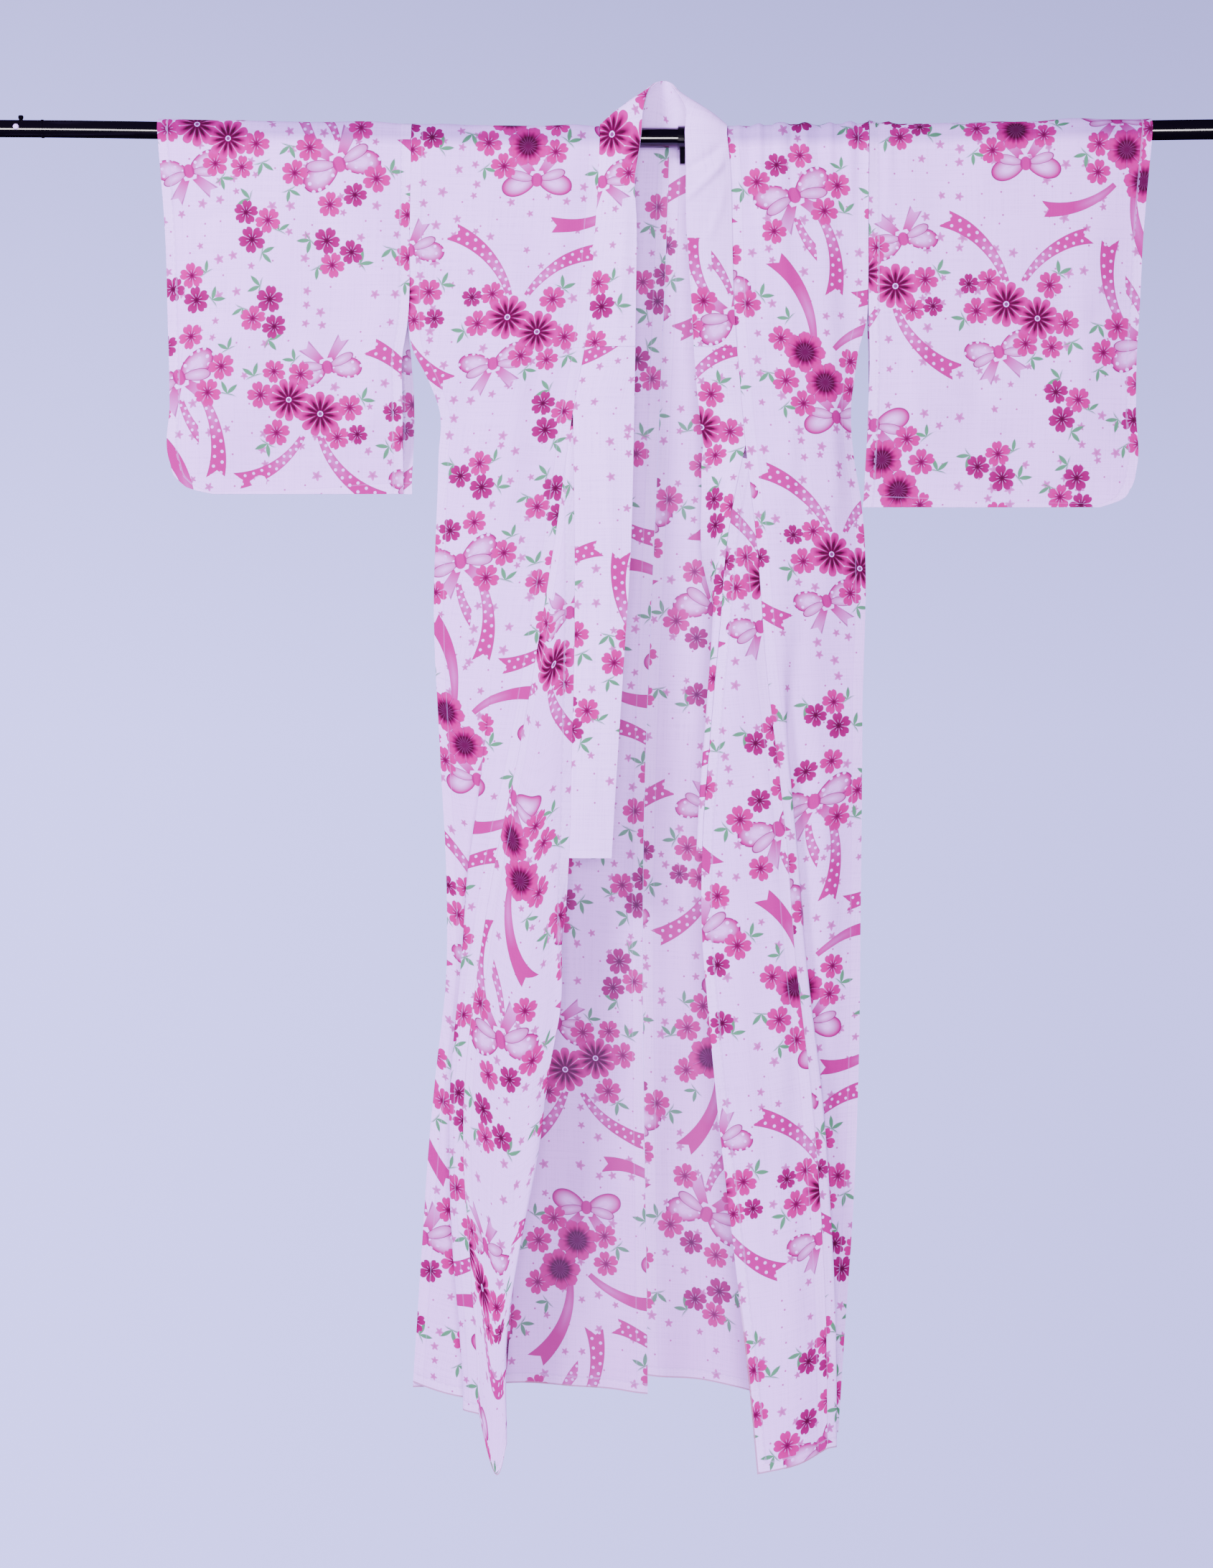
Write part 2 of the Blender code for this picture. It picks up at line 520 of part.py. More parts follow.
def tube(name, x_from, x_to, radius, look, collection):
    """A rod section along the sagging axis, with flat ends square to its run there."""
    curve = bpy.data.curves.new(name, "CURVE")
    curve.dimensions = "3D"
    curve.bevel_depth = radius
    curve.bevel_resolution = 4
    curve.use_fill_caps = True
    line = curve.splines.new("POLY")
    inner = np.linspace(x_from + TUBE_LIP, x_to - TUBE_LIP, TUBE_POINTS)
    places = [x_from, *inner, x_to]
    line.points.add(len(places) - 1)
    for point, x in zip(line.points, places):
        point.co = (x, 0, rod_height(x), 1)
    made = bpy.data.objects.new(name, curve)
    curve.materials.append(look)
    collection.objects.link(made)
    return made


def clamp(look, collection, cutters):
    """Ring turned round the rod's axis, with a small lever below it."""
    inner, outer = ROD_THICK_R + SEAM_GAP, CLAMP_R
    corners = [(x, 0, r) for x, r in ((CLAMP_X[0], inner), (CLAMP_X[0], outer),
                                      (CLAMP_X[1], outer), (CLAMP_X[1], inner))]
    profile = bpy.data.meshes.new("rod_clamp")
    profile.from_pydata(corners, [(0, 1), (1, 2), (2, 3), (3, 0)], [])
    profile.materials.append(look)
    ring = bpy.data.objects.new("rod_clamp", profile)
    collection.objects.link(ring)
    turn = ring.modifiers.new("turn", "SCREW")
    turn.axis = "X"
    turn.steps = CLAMP_STEPS
    turn.render_steps = CLAMP_STEPS
    turn.use_merge_vertices = True
    turn.merge_threshold = 0.00001
    turn.use_normal_calculate = True
    middle = sum(CLAMP_X) / 2
    drop = CLAMP_R + LEVER[2] / 2 - LEVER_ROOT
    bpy.ops.mesh.primitive_cube_add(size=1, location=(middle, 0, -drop))
    lever = bpy.context.object
    lever.name = "lever_cutter"
    bpy.context.collection.objects.unlink(lever)
    cutters.objects.link(lever)
    lever.scale = LEVER
    lever.hide_render = True
    lever.display_type = "WIRE"
    join = ring.modifiers.new("lever", "BOOLEAN")
    join.operation = "UNION"
    join.object = lever


def build():
    for old in list(bpy.data.objects):
        bpy.data.objects.remove(old)
    robe = bpy.data.collections.new("yukata_robe")
    cutters = bpy.data.collections.new("cutters")
    bpy.context.scene.collection.children.link(robe)
    bpy.context.scene.collection.children.link(cutters)
    cotton = material("printed_cotton", (0.80, 0.70, 0.80), 0.85)
    plain = material("collar_cotton", (0.90, 0.86, 0.90), 0.85)
    enamel = material("black_enamel", (0.012, 0.012, 0.014), 0.22)
    for side, grid in (("left", body_left_grid()), ("right", body_right_grid())):
        for place, part in zip(("front", "over_rod", "back"), parted(grid)):
            cloth(f"body_{side}_{place}", part, cotton, robe)
    cloth("okumi_left", overlap_grid((SEAM_LEFT, OVERLAP_FOLD_LEFT, COLLAR_SEAM_LEFT),
                                     (0, 0.55, 1), POINT_LEFT, 0, HEM_OVERLAP_LEFT),
          cotton, robe)
    cloth("okumi_right", overlap_grid((COLLAR_SEAM_RIGHT, OVERLAP_MIDDLE_RIGHT, SEAM_RIGHT),
                                      (0, 0.5, 1), POINT_RIGHT, 1, HEM_OVERLAP_RIGHT),
          cotton, robe)
    cloth("sleeve_left", sleeve_grid(SLEEVE_LEFT, -1), cotton, robe)
    cloth("sleeve_right", sleeve_grid(SLEEVE_RIGHT, 1), cotton, robe)
    cloth("collar", collar_grid(), plain, robe)
    cloth("over_collar", collar_grid(CLOTH + SEAM_GAP, OVER_COLLAR_END), plain, robe)
    clamp(enamel, robe, cutters)
    tube("rod_outer", ROD_STEP_X, ROD_HALF, ROD_THICK_R, enamel, robe)
    tube("rod_inner", -ROD_HALF, ROD_STEP_X - SEAM_GAP, ROD_THIN_R, enamel, robe)


build()
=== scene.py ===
"""Cotton yukata robe hung open on a black telescopic rod: cloth shells, print and stage.

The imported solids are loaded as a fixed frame.  Each garment piece is rebuilt as one thin
shell on its solid's form, from the same station tables: a table row says where a seam, an
edge or a fold hangs at one height, in millimetres, with the columns z, x, y.  +X is the
wearer's left, +Y the wearer's back and +Z up, with the origin on the rod's axis.
"""
import math

import bpy
import numpy as np
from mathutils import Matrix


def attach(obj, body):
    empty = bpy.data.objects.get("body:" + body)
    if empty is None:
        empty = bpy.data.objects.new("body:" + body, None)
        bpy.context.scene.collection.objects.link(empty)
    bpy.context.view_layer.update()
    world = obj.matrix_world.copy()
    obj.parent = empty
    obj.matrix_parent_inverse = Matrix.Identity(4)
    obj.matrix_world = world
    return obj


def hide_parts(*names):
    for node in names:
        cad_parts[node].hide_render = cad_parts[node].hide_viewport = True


bl_info = {
    "name": "Yukata on a rod",
    "version": (1, 0, 0),
    "blender": (4, 5, 0),
    "location": "View3D > Sidebar > Yukata",
    "description": "Builds the shells, print, rod finish and stage of a hanging cotton yukata",
    "category": "Object",
}

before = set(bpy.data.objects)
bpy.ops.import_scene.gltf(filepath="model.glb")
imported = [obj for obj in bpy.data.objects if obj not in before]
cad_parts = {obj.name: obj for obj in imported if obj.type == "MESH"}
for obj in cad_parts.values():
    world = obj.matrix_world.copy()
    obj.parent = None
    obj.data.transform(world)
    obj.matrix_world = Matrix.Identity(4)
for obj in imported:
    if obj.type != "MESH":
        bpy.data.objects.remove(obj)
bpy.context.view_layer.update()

MM = 0.001


def srgb(red, green, blue):
    """Linear colour of an sRGB triple given in 0..255."""
    share = np.array((red, green, blue)) / 255
    return tuple(np.where(share <= 0.04045, share / 12.92, ((share + 0.055) / 1.055) ** 2.4))


# ----------------------------------------------------------- driving dimensions
CLOTH = 1.2 * MM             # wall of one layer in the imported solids
SEAM_GAP = 0.3 * MM          # air between two pieces at a seam
ROD_HALF = 0.900             # half of the rod's length
ROD_THICK_R = 12.75 * MM     # outer tube of the rod
ROD_THIN_R = 11.0 * MM       # inner tube of the rod
ROD_STEP_X = -0.1201         # where the inner tube comes out of the outer one
ROD_SAG = 12.0 * MM          # how far the middle hangs below the ends
CLAMP_X = (0.030, 0.042)     # ends of the clamp ring
CLAMP_SWELL = 3.0 * MM       # how far the neckline stands off to pass over the ring
CLAMP_SPREAD = 0.040         # distance along the rod within which it does so
WRAP_R = ROD_THICK_R + SEAM_GAP + CLOTH   # middle surface of cloth over the rod
REST_R = ROD_THICK_R + CLOTH              # nearest that a crease comes to the rod's axis
SIDE_Y = (CLOTH + SEAM_GAP) / 2           # half distance of two layers sewn together
WRAP_ANGLES = np.linspace(-90, 90, 15)    # rows over the rod, front to back
COLLAR_END_LEFT, COLLAR_END_RIGHT = -0.923, -0.914
OVER_COLLAR_END = -0.272     # lower ends of the over-collar
COLLAR_PROUD = 0.14          # angle, in radians, at which its free edge stands forward
ROLL_SHARE = 0.36            # share of the collar's width within which it rolls
COLLAR_BULGE = 4.0 * MM      # crown of the collar's section
POINT_LEFT, POINT_RIGHT = -0.359, -0.400   # points of the overlap panels
POINT_STEP = -0.014          # from the point to the panel's first full row
GATHER_X = (0.095, 0.345)    # small gathers of the cloth on the rod: from x, to x
GATHER_COUNT = 9
GATHER_DEPTH = 3.2 * MM
GATHER_DROP = 0.170          # how far below the rod they fade away
GATHER_ENDS = (0.12, 0.25)   # shares of their span within which they fade in and out
GATHER_WANDER = (0.9, 9)     # how far their phase wanders, and how fast
GATHER_POWER = 1.6           # power that sharpens them
GATHER_FINE = (0.18, 2.7, 1.3)            # height, turns and phase of the finer wave
FOLD_SPAN, FOLD_COUNT, FOLD_DEPTH = 0.280, 2.6, 8.0 * MM   # soft folds of the back
FOLD_TOP, FOLD_GROW = -0.080, 1.100   # where they start, and how far they take to grow
FOLD_LEAN, FOLD_TURNS = 0.25, 2.1     # how far they wander sideways, and how often
FOLD_FREE = (0.25, 0.12)     # shares within which they fade: at a side, at the centre
FOLD_PHASE_LEFT, FOLD_PHASE_RIGHT = 0.4, 1.9   # where the folds of each half begin
LIFT_DROP = 0.350            # drop from the rod within which its sag is felt
RING_DROP = 0.050            # drop from the rod within which the clamp's swell is felt
NECK_TURN = (5, 85)          # degrees over the rod: where the neckline turns, for how long
CREST_BAND = 0.020           # height under the rod within which the neck seam widens
CROWN_DROP = 0.300           # drop within which the rolled side loses its crown
SLEEVE_SPREAD = 0.080        # how soon the two layers part from the outer seam
SLEEVE_FLOOR = 0.130         # height above the bottom seam at which they are fully apart
SLEEVE_SHOULDER = 0.160      # drop from the rod within which they hang straight down
SEAM_HELD = 0.035            # distance from a seam within which creases fade out
SLEEVE_SEAM_HELD, SLEEVE_CUFF_HELD, COLLAR_HELD = 0.06, 0.08, 0.015   # the same there

# Grids: columns and rows of the pieces, and the drops over which rows are counted
BODY_DROP, OVERLAP_DROP = 1.62, 1.32
OVERLAP_COLUMNS, OVERLAP_STEP = 36, 0.0042
SLEEVE_COLUMNS, SLEEVE_FINER = 82, 0.92   # its rows lie closer than the body's
COLLAR_COLUMNS, COLLAR_STEP = 20, 0.0036
ROLL_POINTS = 81             # of the fine line that a rolled section is read from
TUBE_RINGS, TUBE_SIDES = 61, 48

# Fittings of the thin tube: distance along their axis and radius
JOINT_PROFILE = np.array(((-0.0016, 0), (-0.0013, 0.0007), (0.0013, 0.0007),
                          (0.0016, 0))) + (0, ROD_THIN_R)
BUTTON_PROFILE = np.array(((-0.0030, 0.0036), (0.0012, 0.0036), (0.0020, 0.0030),
                           (0.0023, 0.0018))) + (ROD_THIN_R, 0)
STOP_PROFILE = np.array(((-0.0030, 0.0026), (0.0016, 0.0026), (0.0024, 0.0034),
                         (0.0052, 0.0034), (0.0060, 0.0022))) + (ROD_THIN_R, 0)
STOP_ASIDE = 0.004           # from the button to the stop, along the rod

# Boxes of low x, z and high x, z: left bare, or with hardly more than stars
BARE_LAPEL = (0.028, -0.135, 0.150, 0.100)
BARE_COLLAR_END = (-0.150, -0.940, 0.000, -0.863)
STARRED_COLLAR = (-0.150, -0.450, 0.000, -0.268)

# Lights: name, size, place and what they are aimed at
LIGHTS = (
    ("key_light", (0.9, 0.9), (-2.4, -2.6, 1.5), (0, 0, -0.8)),
    ("fill_light", (1.6, 1.6), (0.2, -3.6, -0.8), (0, 0, -0.8)),
    ("line_light", (3.3, 0.50), (0, -2.2, -0.62), (0, 0, 0)))
STRIP_WHITE = (1.0, 0.92, 1.0)
# Painted shade of the backdrop towards +X and upwards: where each begins, its span, its colour
AIR_SHADE_ASIDE = (-0.20, 0.40, (0.76, 0.76, 0.76))
AIR_SHADE_ABOVE = (0.02, 0.26, (0.62, 0.62, 0.60))
GLOSS_DIM = 0.98             # how much dimmer the air is in gloss
CAMERA_PLACE = (-0.0614, -3.52, -0.829)
CAMERA_LENS = 81.4

# ---------------------------------------------------------------- edge tables
# Wearer's right is at -X.  Rows run from the shoulder down to the hem.
WRAP = WRAP_R / MM
SEWN = SIDE_Y / MM

SIDE_LEFT = (   # side edge at -X: armhole, slit below it, side seam, flaring skirt
    (0, -311, -WRAP), (-120, -313, -13), (-200, -314.5, -12), (-240, -315, -11),
    (-272, -310, -10), (-305, -293, -9), (-353, -275, -5), (-410, -277, -SEWN),
    (-420, -277.2, -SEWN), (-607, -283, -SEWN), (-790, -275, -SEWN), (-948, -267, -SEWN),
    (-1088, -268, -SEWN), (-1194, -280, -SEWN), (-1299, -290, -SEWN), (-1402, -297, -SEWN),
    (-1600, -310, -SEWN))
PLEAT_LEFT_INNER = (   # hidden fold of the front at -X, behind the overlap panel
    (0, -225, -WRAP), (-244, -228, -17), (-410, -222, -22), (-700, -215, -22),
    (-948, -200, -18), (-1088, -186, -16), (-1194, -180, -15), (-1402, -178, -15),
    (-1600, -190, -15))
PLEAT_LEFT_OUTER = (   # fold of the same front that shows at its side
    (0, -140, -WRAP), (-244, -150, -20), (-410, -160, -27), (-700, -200, -28),
    (-948, -236, -28), (-1088, -250, -27), (-1194, -258, -27), (-1402, -257, -27),
    (-1600, -244, -27))
SEAM_LEFT = (   # collar seam down to -359, then the seam of the overlap panel
    (0, -70, -WRAP), (-61, -72, -15), (-150, -78, -17), (-250, -86, -20), (-359, -105, -24),
    (-504, -125, -29), (-630, -145, -33), (-775, -170, -36), (-931, -203, -38),
    (-1088, -228, -39), (-1194, -240, -39), (-1281, -243, -39), (-1425, -235, -39),
    (-1538, -227, -39), (-1628, -223, -39))
OVERLAP_FOLD_LEFT = (   # foremost line of the overlap panel at -X
    (-359, -104.5, -24), (-630, -121, -38), (-812, -132, -44), (-923, -136, -47),
    (-1025, -126, -48), (-1106, -122, -47), (-1186, -134, -47), (-1281, -147, -47),
    (-1409, -171, -47), (-1538, -190, -47), (-1663, -189, -47), (-1711, -189, -47))
COLLAR_SEAM_LEFT = (   # collar seam below the panel's point, and below -923 its free edge
    (-359, -104, -24), (-630, -102, -33), (-812, -106, -37), (-923, -109, -39),
    (-1025, -117, -37), (-1106, -131, -34), (-1186, -151, -32), (-1281, -175, -31),
    (-1409, -203, -30), (-1538, -213, -30), (-1663, -207, -30))
COLLAR_FREE_LEFT = (
    (0, -17, -22), (-23, -20, -23), (-56, -25, -24), (-110, -23, -25), (-217, -24, -27),
    (-340, -26, -32), (-539, -31, -39), (-683, -40, -43), (-804, -48, -45), (-923, -55, -47))
CENTRE_BACK = (
    (0, 20, WRAP), (-94, 17, 17), (-400, 5, 22), (-882, -13, 26), (-1607, -8, 28))
BACK_LEFT_MIDDLE = (
    (0, -150, WRAP), (-244, -155, 18), (-600, -150, 25), (-1100, -140, 29), (-1607, -150, 31))
BACK_RIGHT_MIDDLE = (
    (0, 150, WRAP), (-244, 140, 18), (-600, 130, 25), (-1100, 125, 29), (-1607, 115, 31))
SIDE_RIGHT = (   # side edge at +X
    (0, 274, -WRAP), (-120, 273.6, -13), (-200, 273.2, -12), (-233, 272, -11), (-272, 262, -10),
    (-311, 256, -8), (-350, 252, -5), (-410, 256, -SEWN), (-465, 265, -SEWN),
    (-745, 267, -SEWN), (-974, 265, -SEWN), (-1203, 262, -SEWN), (-1377, 255, -SEWN),
    (-1538, 244, -SEWN), (-1661, 236, -SEWN))
PLEAT_RIGHT_OUTER = (
    (0, 215, -WRAP), (-231, 213, -20), (-378, 210, -24), (-704, 213, -20), (-900, 214, -17),
    (-1216, 212, -15), (-1393, 208, -15), (-1660, 205, -15))
PLEAT_RIGHT_INNER = (   # hidden fold of the front at +X, behind the overlap panel
    (0, 165, -WRAP), (-231, 170, -22), (-378, 180, -28), (-564, 186, -28), (-704, 176, -23),
    (-817, 164, -20), (-900, 155, -19), (-1034, 148, -18), (-1216, 148, -18), (-1393, 156, -18),
    (-1660, 176, -18))
PLEAT_RIGHT_EDGE = (   # fold of the same front that shows beside the overlap panel
    (0, 127, -WRAP), (-231, 135, -24), (-400, 147, -32), (-516, 154, -34), (-704, 161, -34),
    (-817, 172, -33), (-900, 180, -32), (-1034, 190, -31), (-1216, 211, -31), (-1393, 224, -31),
    (-1505, 229, -31), (-1660, 231, -31))
SEAM_RIGHT = (   # collar seam down to -400, then the seam of the overlap panel
    (0, 93, -WRAP), (-49, 97, -15), (-131, 99, -17), (-231, 102, -21), (-308, 108, -25),
    (-400, 116, -29), (-516, 129, -33), (-704, 144, -36), (-817, 158, -37), (-900, 167, -38),
    (-1034, 177, -38), (-1216, 198, -38), (-1393, 212, -38), (-1505, 217, -38),
    (-1660, 219, -38))
OVERLAP_MIDDLE_RIGHT = (
    (-400, 115.5, -29), (-626, 108, -42), (-736, 106, -45), (-914, 108, -47), (-1111, 124, -47),
    (-1345, 152, -47), (-1570, 172, -47), (-1700, 180, -47))
COLLAR_SEAM_RIGHT = (   # collar seam below the panel's point, and below -914 its free edge
    (-400, 115, -29), (-450, 104, -34), (-529, 91, -38), (-626, 83, -41), (-736, 73, -43),
    (-914, 60, -44), (-1009, 59, -44), (-1111, 67, -43), (-1248, 80, -42), (-1447, 103, -41),
    (-1570, 117, -40), (-1708, 130, -40))
COLLAR_TURN_RIGHT = (   # z, width of the collar, degrees that it is rolled inwards
    (0, 55, 0), (-77, 59, 0), (-231, 55, 2), (-308, 56, 6), (-400, 54, 18), (-450, 52, 40),
    (-529, 52, 62), (-626, 52, 105), (-736, 52, 150), (-920, 52, 172))
# free edge of the collar where it stands up round the neck: share of the way
# from the left front to the right front, x, y, z
COLLAR_CREST = (
    (0.00, -17, -22, 0), (0.15, -14, -17, 34), (0.30, -5, -6, 62), (0.50, 15, 8, 75),
    (0.70, 30, -6, 56), (0.85, 40, -17, 32), (1.00, 38, -22, 0))

# -------------------------------------------------------------- sleeve tables
# z, x of the open inner edge on the front, the same on the back, x outside
SLEEVE_LEFT = (
    (0, -311, -311, -636), (-120, -313, -313, -628), (-250, -317, -316, -624),
    (-280, -322, -313, -623), (-342, -322, -309, -622), (-415, -322, -310, -622),
    (-440, -322, -311, -610), (-452, -322, -311, -590), (-457, -322, -311, -566))
SLEEVE_RIGHT = (
    (0, 274, 274, 637), (-120, 274, 274, 628), (-233, 274, 274, 622), (-280, 275, 276, 619),
    (-350, 273, 276, 618), (-423, 270, 274, 619), (-450, 269, 273, 611), (-466, 268, 272, 596),
    (-474, 267, 271, 572))

# --------------------------------------------------------------------- hems
# Columns: share of the way across the panel, height of the hem in metres
HEM_FRONT_LEFT = ((0, -1.596), (0.12, -1.611), (0.3, -1.618), (0.6, -1.623), (1, -1.629))
HEM_OVERLAP_LEFT = ((0, -1.629), (0.30, -1.704), (0.55, -1.664), (1, -1.655))
HEM_BACK_LEFT = ((0, -1.603), (0.5, -1.606), (1, -1.618))
HEM_BACK_RIGHT = ((0, -1.594), (0.5, -1.612), (1, -1.661))
HEM_FRONT_RIGHT = ((0, -1.673), (0.5, -1.668), (1, -1.660))
HEM_OVERLAP_RIGHT = ((0, -1.705), (0.5, -1.692), (1, -1.673))

# -------------------------------------------------------- print, threads and finish
EDGE_BLUR = 0.5              # softness of a motif's edge, in millimetres
DAISY_RADIUS, DAISY_PETALS = 29.0, 11
BEAD_RADIUS, BEAD_RING = 3.9, 3.0         # bead in a daisy's heart, and its pale ring
COSMOS_RADIUS, COSMOS_PETALS, COSMOS_RAYS = 27.0, 8, 17.0
BLOSSOM_RADIUS, SPRIG_RADIUS = 17.0, 17.0
TAIL_BEND, TAIL_HALF, TAIL_WIDTH = 130.0, 0.46, 24.0   # bend, half angle, breadth
SPOT_PITCH, SPOT_RADIUS = 13.0, 2.3       # dots along a ribbon
BOW_LOOP = (20.0, 5.0, 18.0)              # place in the bow and degrees that it leans
BOW_FOLD = (17.5, -4.5, -14.0)
BOW_TAIL = (13.0, -18.0, -52.0)
DOT_WHITE = (0.90, 0.78, 0.92)
STAR_CELLS = 44.0            # cells to a metre
STAR_SHARE, DOT_SHARE = 0.34, 0.62        # shares of the cells with a star, with a dot
STAR_RADIUS, DOT_RADIUS = 7.6, 1.5        # of the largest, in millimetres
THREAD_CELLS = (620, 14)     # cells of noise to a metre across a thread and along it
PATCH_CELLS = 7.0            # the same for the broad patches of painted shade
CHECK_TURNS = 310.0          # turns of the woven check to a metre
STITCH_TURNS = 210.0         # turns of the stitches to a metre
STITCH_LINE = 0.0115         # how far in from the hem they run
HEM_BAND, SEAM_BAND = 0.013, 0.014        # breadths of cloth turned in
BAND_BLUR = 0.0012
WRONG_SIDE_SHADE = (0.72, 0.50, 0.62)      # painted shade: tint that darkens the wrong side, low down
WRONG_SIDE_FROM, WRONG_SIDE_RATE = -0.10, 0.28   # share of the painted shade at the rod, more to a metre down
WRONG_SIDE_WEAK = 0.05       # share by which the print is weaker there
ROD_SHADE_TINT = (0.52, 0.54, 0.58)          # painted shade: tint of one layer of cloth over the dark rod
ROD_SHADE_REACH = (0.017, 0.014)   # how far below the rod's axis the painted shade ends, and fades out
HEM_EDGE = srgb(176, 150, 136)            # worn edge of the low hems
HEM_WORN, LOW_HEMS = 0.0023, -1.45        # its breadth, and the height it begins at


# ------------------------------------------------------------------ settings
COLOUR = {"subtype": "COLOR", "size": 3, "min": 0, "max": 1}
METRES = {"unit": "LENGTH"}


class YukataCloth(bpy.types.PropertyGroup):
    """Sizes and colours of the printed cotton."""
    thickness: bpy.props.FloatProperty(
        name="Cloth thickness", description="Wall of one layer of cotton",
        default=0.0005, min=0.0002, max=0.0012, precision=5, **METRES)
    collar_thickness: bpy.props.FloatProperty(
        name="Collar thickness", description="Wall of the folded collar",
        default=0.0010, min=0.0004, max=0.0020, precision=5, **METRES)
    grid_step: bpy.props.FloatProperty(
        name="Grid step", description="Distance between rows of the wide pieces",
        default=0.0048, min=0.003, max=0.02, precision=4, **METRES)
    ripple: bpy.props.FloatProperty(
        name="Ripple", description="Depth of the broad undulation of the cloth",
        default=0.0015, min=0.0, max=0.003, precision=4, **METRES)
    ground: bpy.props.FloatVectorProperty(
        name="Ground", description="Colour of a single layer of unprinted cotton",
        default=srgb(248, 238, 247), **COLOUR)
    layered: bpy.props.FloatVectorProperty(
        name="Layered ground", description="Colour where two or more layers lie together",
        default=srgb(253, 250, 251), **COLOUR)
    # Painted shade: colour of random soft patches that darken the ground, standing in for soft
    # fold shade and the backdrop seen through thin cloth
    shade: bpy.props.FloatVectorProperty(
        name="Patchy painted shade", description="Colour of the thinner patches of the cotton",
        default=srgb(238, 220, 240), **COLOUR)
    petal: bpy.props.FloatVectorProperty(
        name="Petals", description="Colour of the petals",
        default=srgb(182, 4, 106), **COLOUR)
    heart: bpy.props.FloatVectorProperty(
        name="Flower hearts", description="Colour of the hearts and streaks of the flowers",
        default=srgb(70, 0, 36), **COLOUR)
    ribbon: bpy.props.FloatVectorProperty(
        name="Ribbons", description="Colour of the bows, ribbons and stars",
        default=srgb(177, 22, 112), **COLOUR)
    leaf: bpy.props.FloatVectorProperty(
        name="Leaves", description="Colour of the leaves",
        default=srgb(84, 178, 92), **COLOUR)
    weave: bpy.props.FloatProperty(
        name="Weave relief", description="Strength of the weave's bump",
        default=0.25, min=0.0, max=1.0, subtype="FACTOR")


class YukataRod(bpy.types.PropertyGroup):
    """Finish of the hanging rod, and the places of its small fittings."""
    enamel: bpy.props.FloatVectorProperty(
        name="Enamel", description="Colour of the rod's enamel",
        default=srgb(8, 8, 10), **COLOUR)
    button_x: bpy.props.FloatProperty(
        name="Spring button", description="Place of the spring button along the rod",
        default=-0.817, min=-0.9, max=-0.5, **METRES)
    joint_x: bpy.props.FloatProperty(
        name="Joint", description="Place of the joint line along the rod",
        default=-0.785, min=-0.9, max=-0.5, **METRES)


class YukataStage(bpy.types.PropertyGroup):
    """Floor, air and lights round the robe."""
    air: bpy.props.FloatVectorProperty(
        name="Backdrop", description="Colour of the empty air behind the robe",
        default=(0.425, 0.405, 1.0), **COLOUR)
    air_strength: bpy.props.FloatProperty(
        name="Backdrop strength", description="Brightness of the empty air",
        default=3.25, min=0.0, max=10.0)
    cast: bpy.props.FloatVectorProperty(
        name="Light cast", description="Lilac cast of the studio light",
        default=(0.590, 0.335, 1.0), **COLOUR)
    ambience: bpy.props.FloatProperty(
        name="Ambience", description="Strength of the light from all round",
        default=0.95, min=0.0, max=10.0)
    floor_z: bpy.props.FloatProperty(
        name="Floor height", description="Height of the floor below the rod",
        default=-2.06, min=-3.0, max=-1.8, **METRES)
    floor_radius: bpy.props.FloatProperty(
        name="Floor radius", description="Radius of the round floor",
        default=0.75, min=0.3, max=3.0, **METRES)
    key_power: bpy.props.FloatProperty(
        name="Key light", description="Power of the light from the upper left",
        default=400.0, min=0.0, max=900.0, unit="POWER")
    fill_power: bpy.props.FloatProperty(
        name="Fill light", description="Power of the soft light from the front",
        default=255.0, min=0.0, max=400.0, unit="POWER")
    line_power: bpy.props.FloatProperty(
        name="Strip light", description="Power of the strip that draws a line on the rod",
        default=280.0, min=0.0, max=900.0, unit="POWER")


# ------------------------------------------------------------------ numerics
def slopes(knots, values):
    """Tangent at each knot: the mean of its two neighbouring slopes by distance."""
    step = np.diff(knots)
    rise = np.diff(values) / step
    inner = (rise[:-1] * step[1:] + rise[1:] * step[:-1]) / (step[:-1] + step[1:])
    return np.concatenate((rise[:1], inner, rise[-1:]))


def smooth(knots, values, at):
    """Cubic curve through values at knots, read at the points given.

    Between two knots it is the Hermite cubic of both values and both tangents.
    """
    knots, values = np.asarray(knots, float), np.asarray(values, float)
    at = np.clip(at, knots[0], knots[-1])
    i = np.clip(np.searchsorted(knots, at, side="right") - 1, 0, len(knots) - 2)
    h = knots[i + 1] - knots[i]
    t = (at - knots[i]) / h
    m = slopes(knots, values)
    return ((1 + 2 * t) * (1 - t) ** 2 * values[i] + t * (1 - t) ** 2 * h * m[i]
            + t * t * (3 - 2 * t) * values[i + 1] + t * t * (t - 1) * h * m[i + 1])


def hang(table, z, column):
    """One column of a z, x, y table, in metres, at the heights z."""
    rows = np.array(table, float)[::-1] * MM
    return smooth(rows[:, 0], rows[:, column], z)


def mirrored(table):
    """A front's station moved to the back layer: same heights and places, y turned."""
    return tuple((z, x, -y) for z, x, y in table)


def ease(t):
    """Smooth step: 3 t^2 - 2 t^3 between 0 and 1."""
    t = np.clip(t, 0.0, 1.0)
    return t * t * (3 - 2 * t)


def rod_height(x):
    """Height of the sagging rod's axis: half the sag times (1 - cos(pi x / half length))."""
    return ROD_SAG / 2 * (1 - np.cos(math.pi * x / ROD_HALF))


def lift(x, z):
    """The rod's rise at x, fading with the drop below the rod."""
    return rod_height(x) * ease(1 + z / LIFT_DROP)


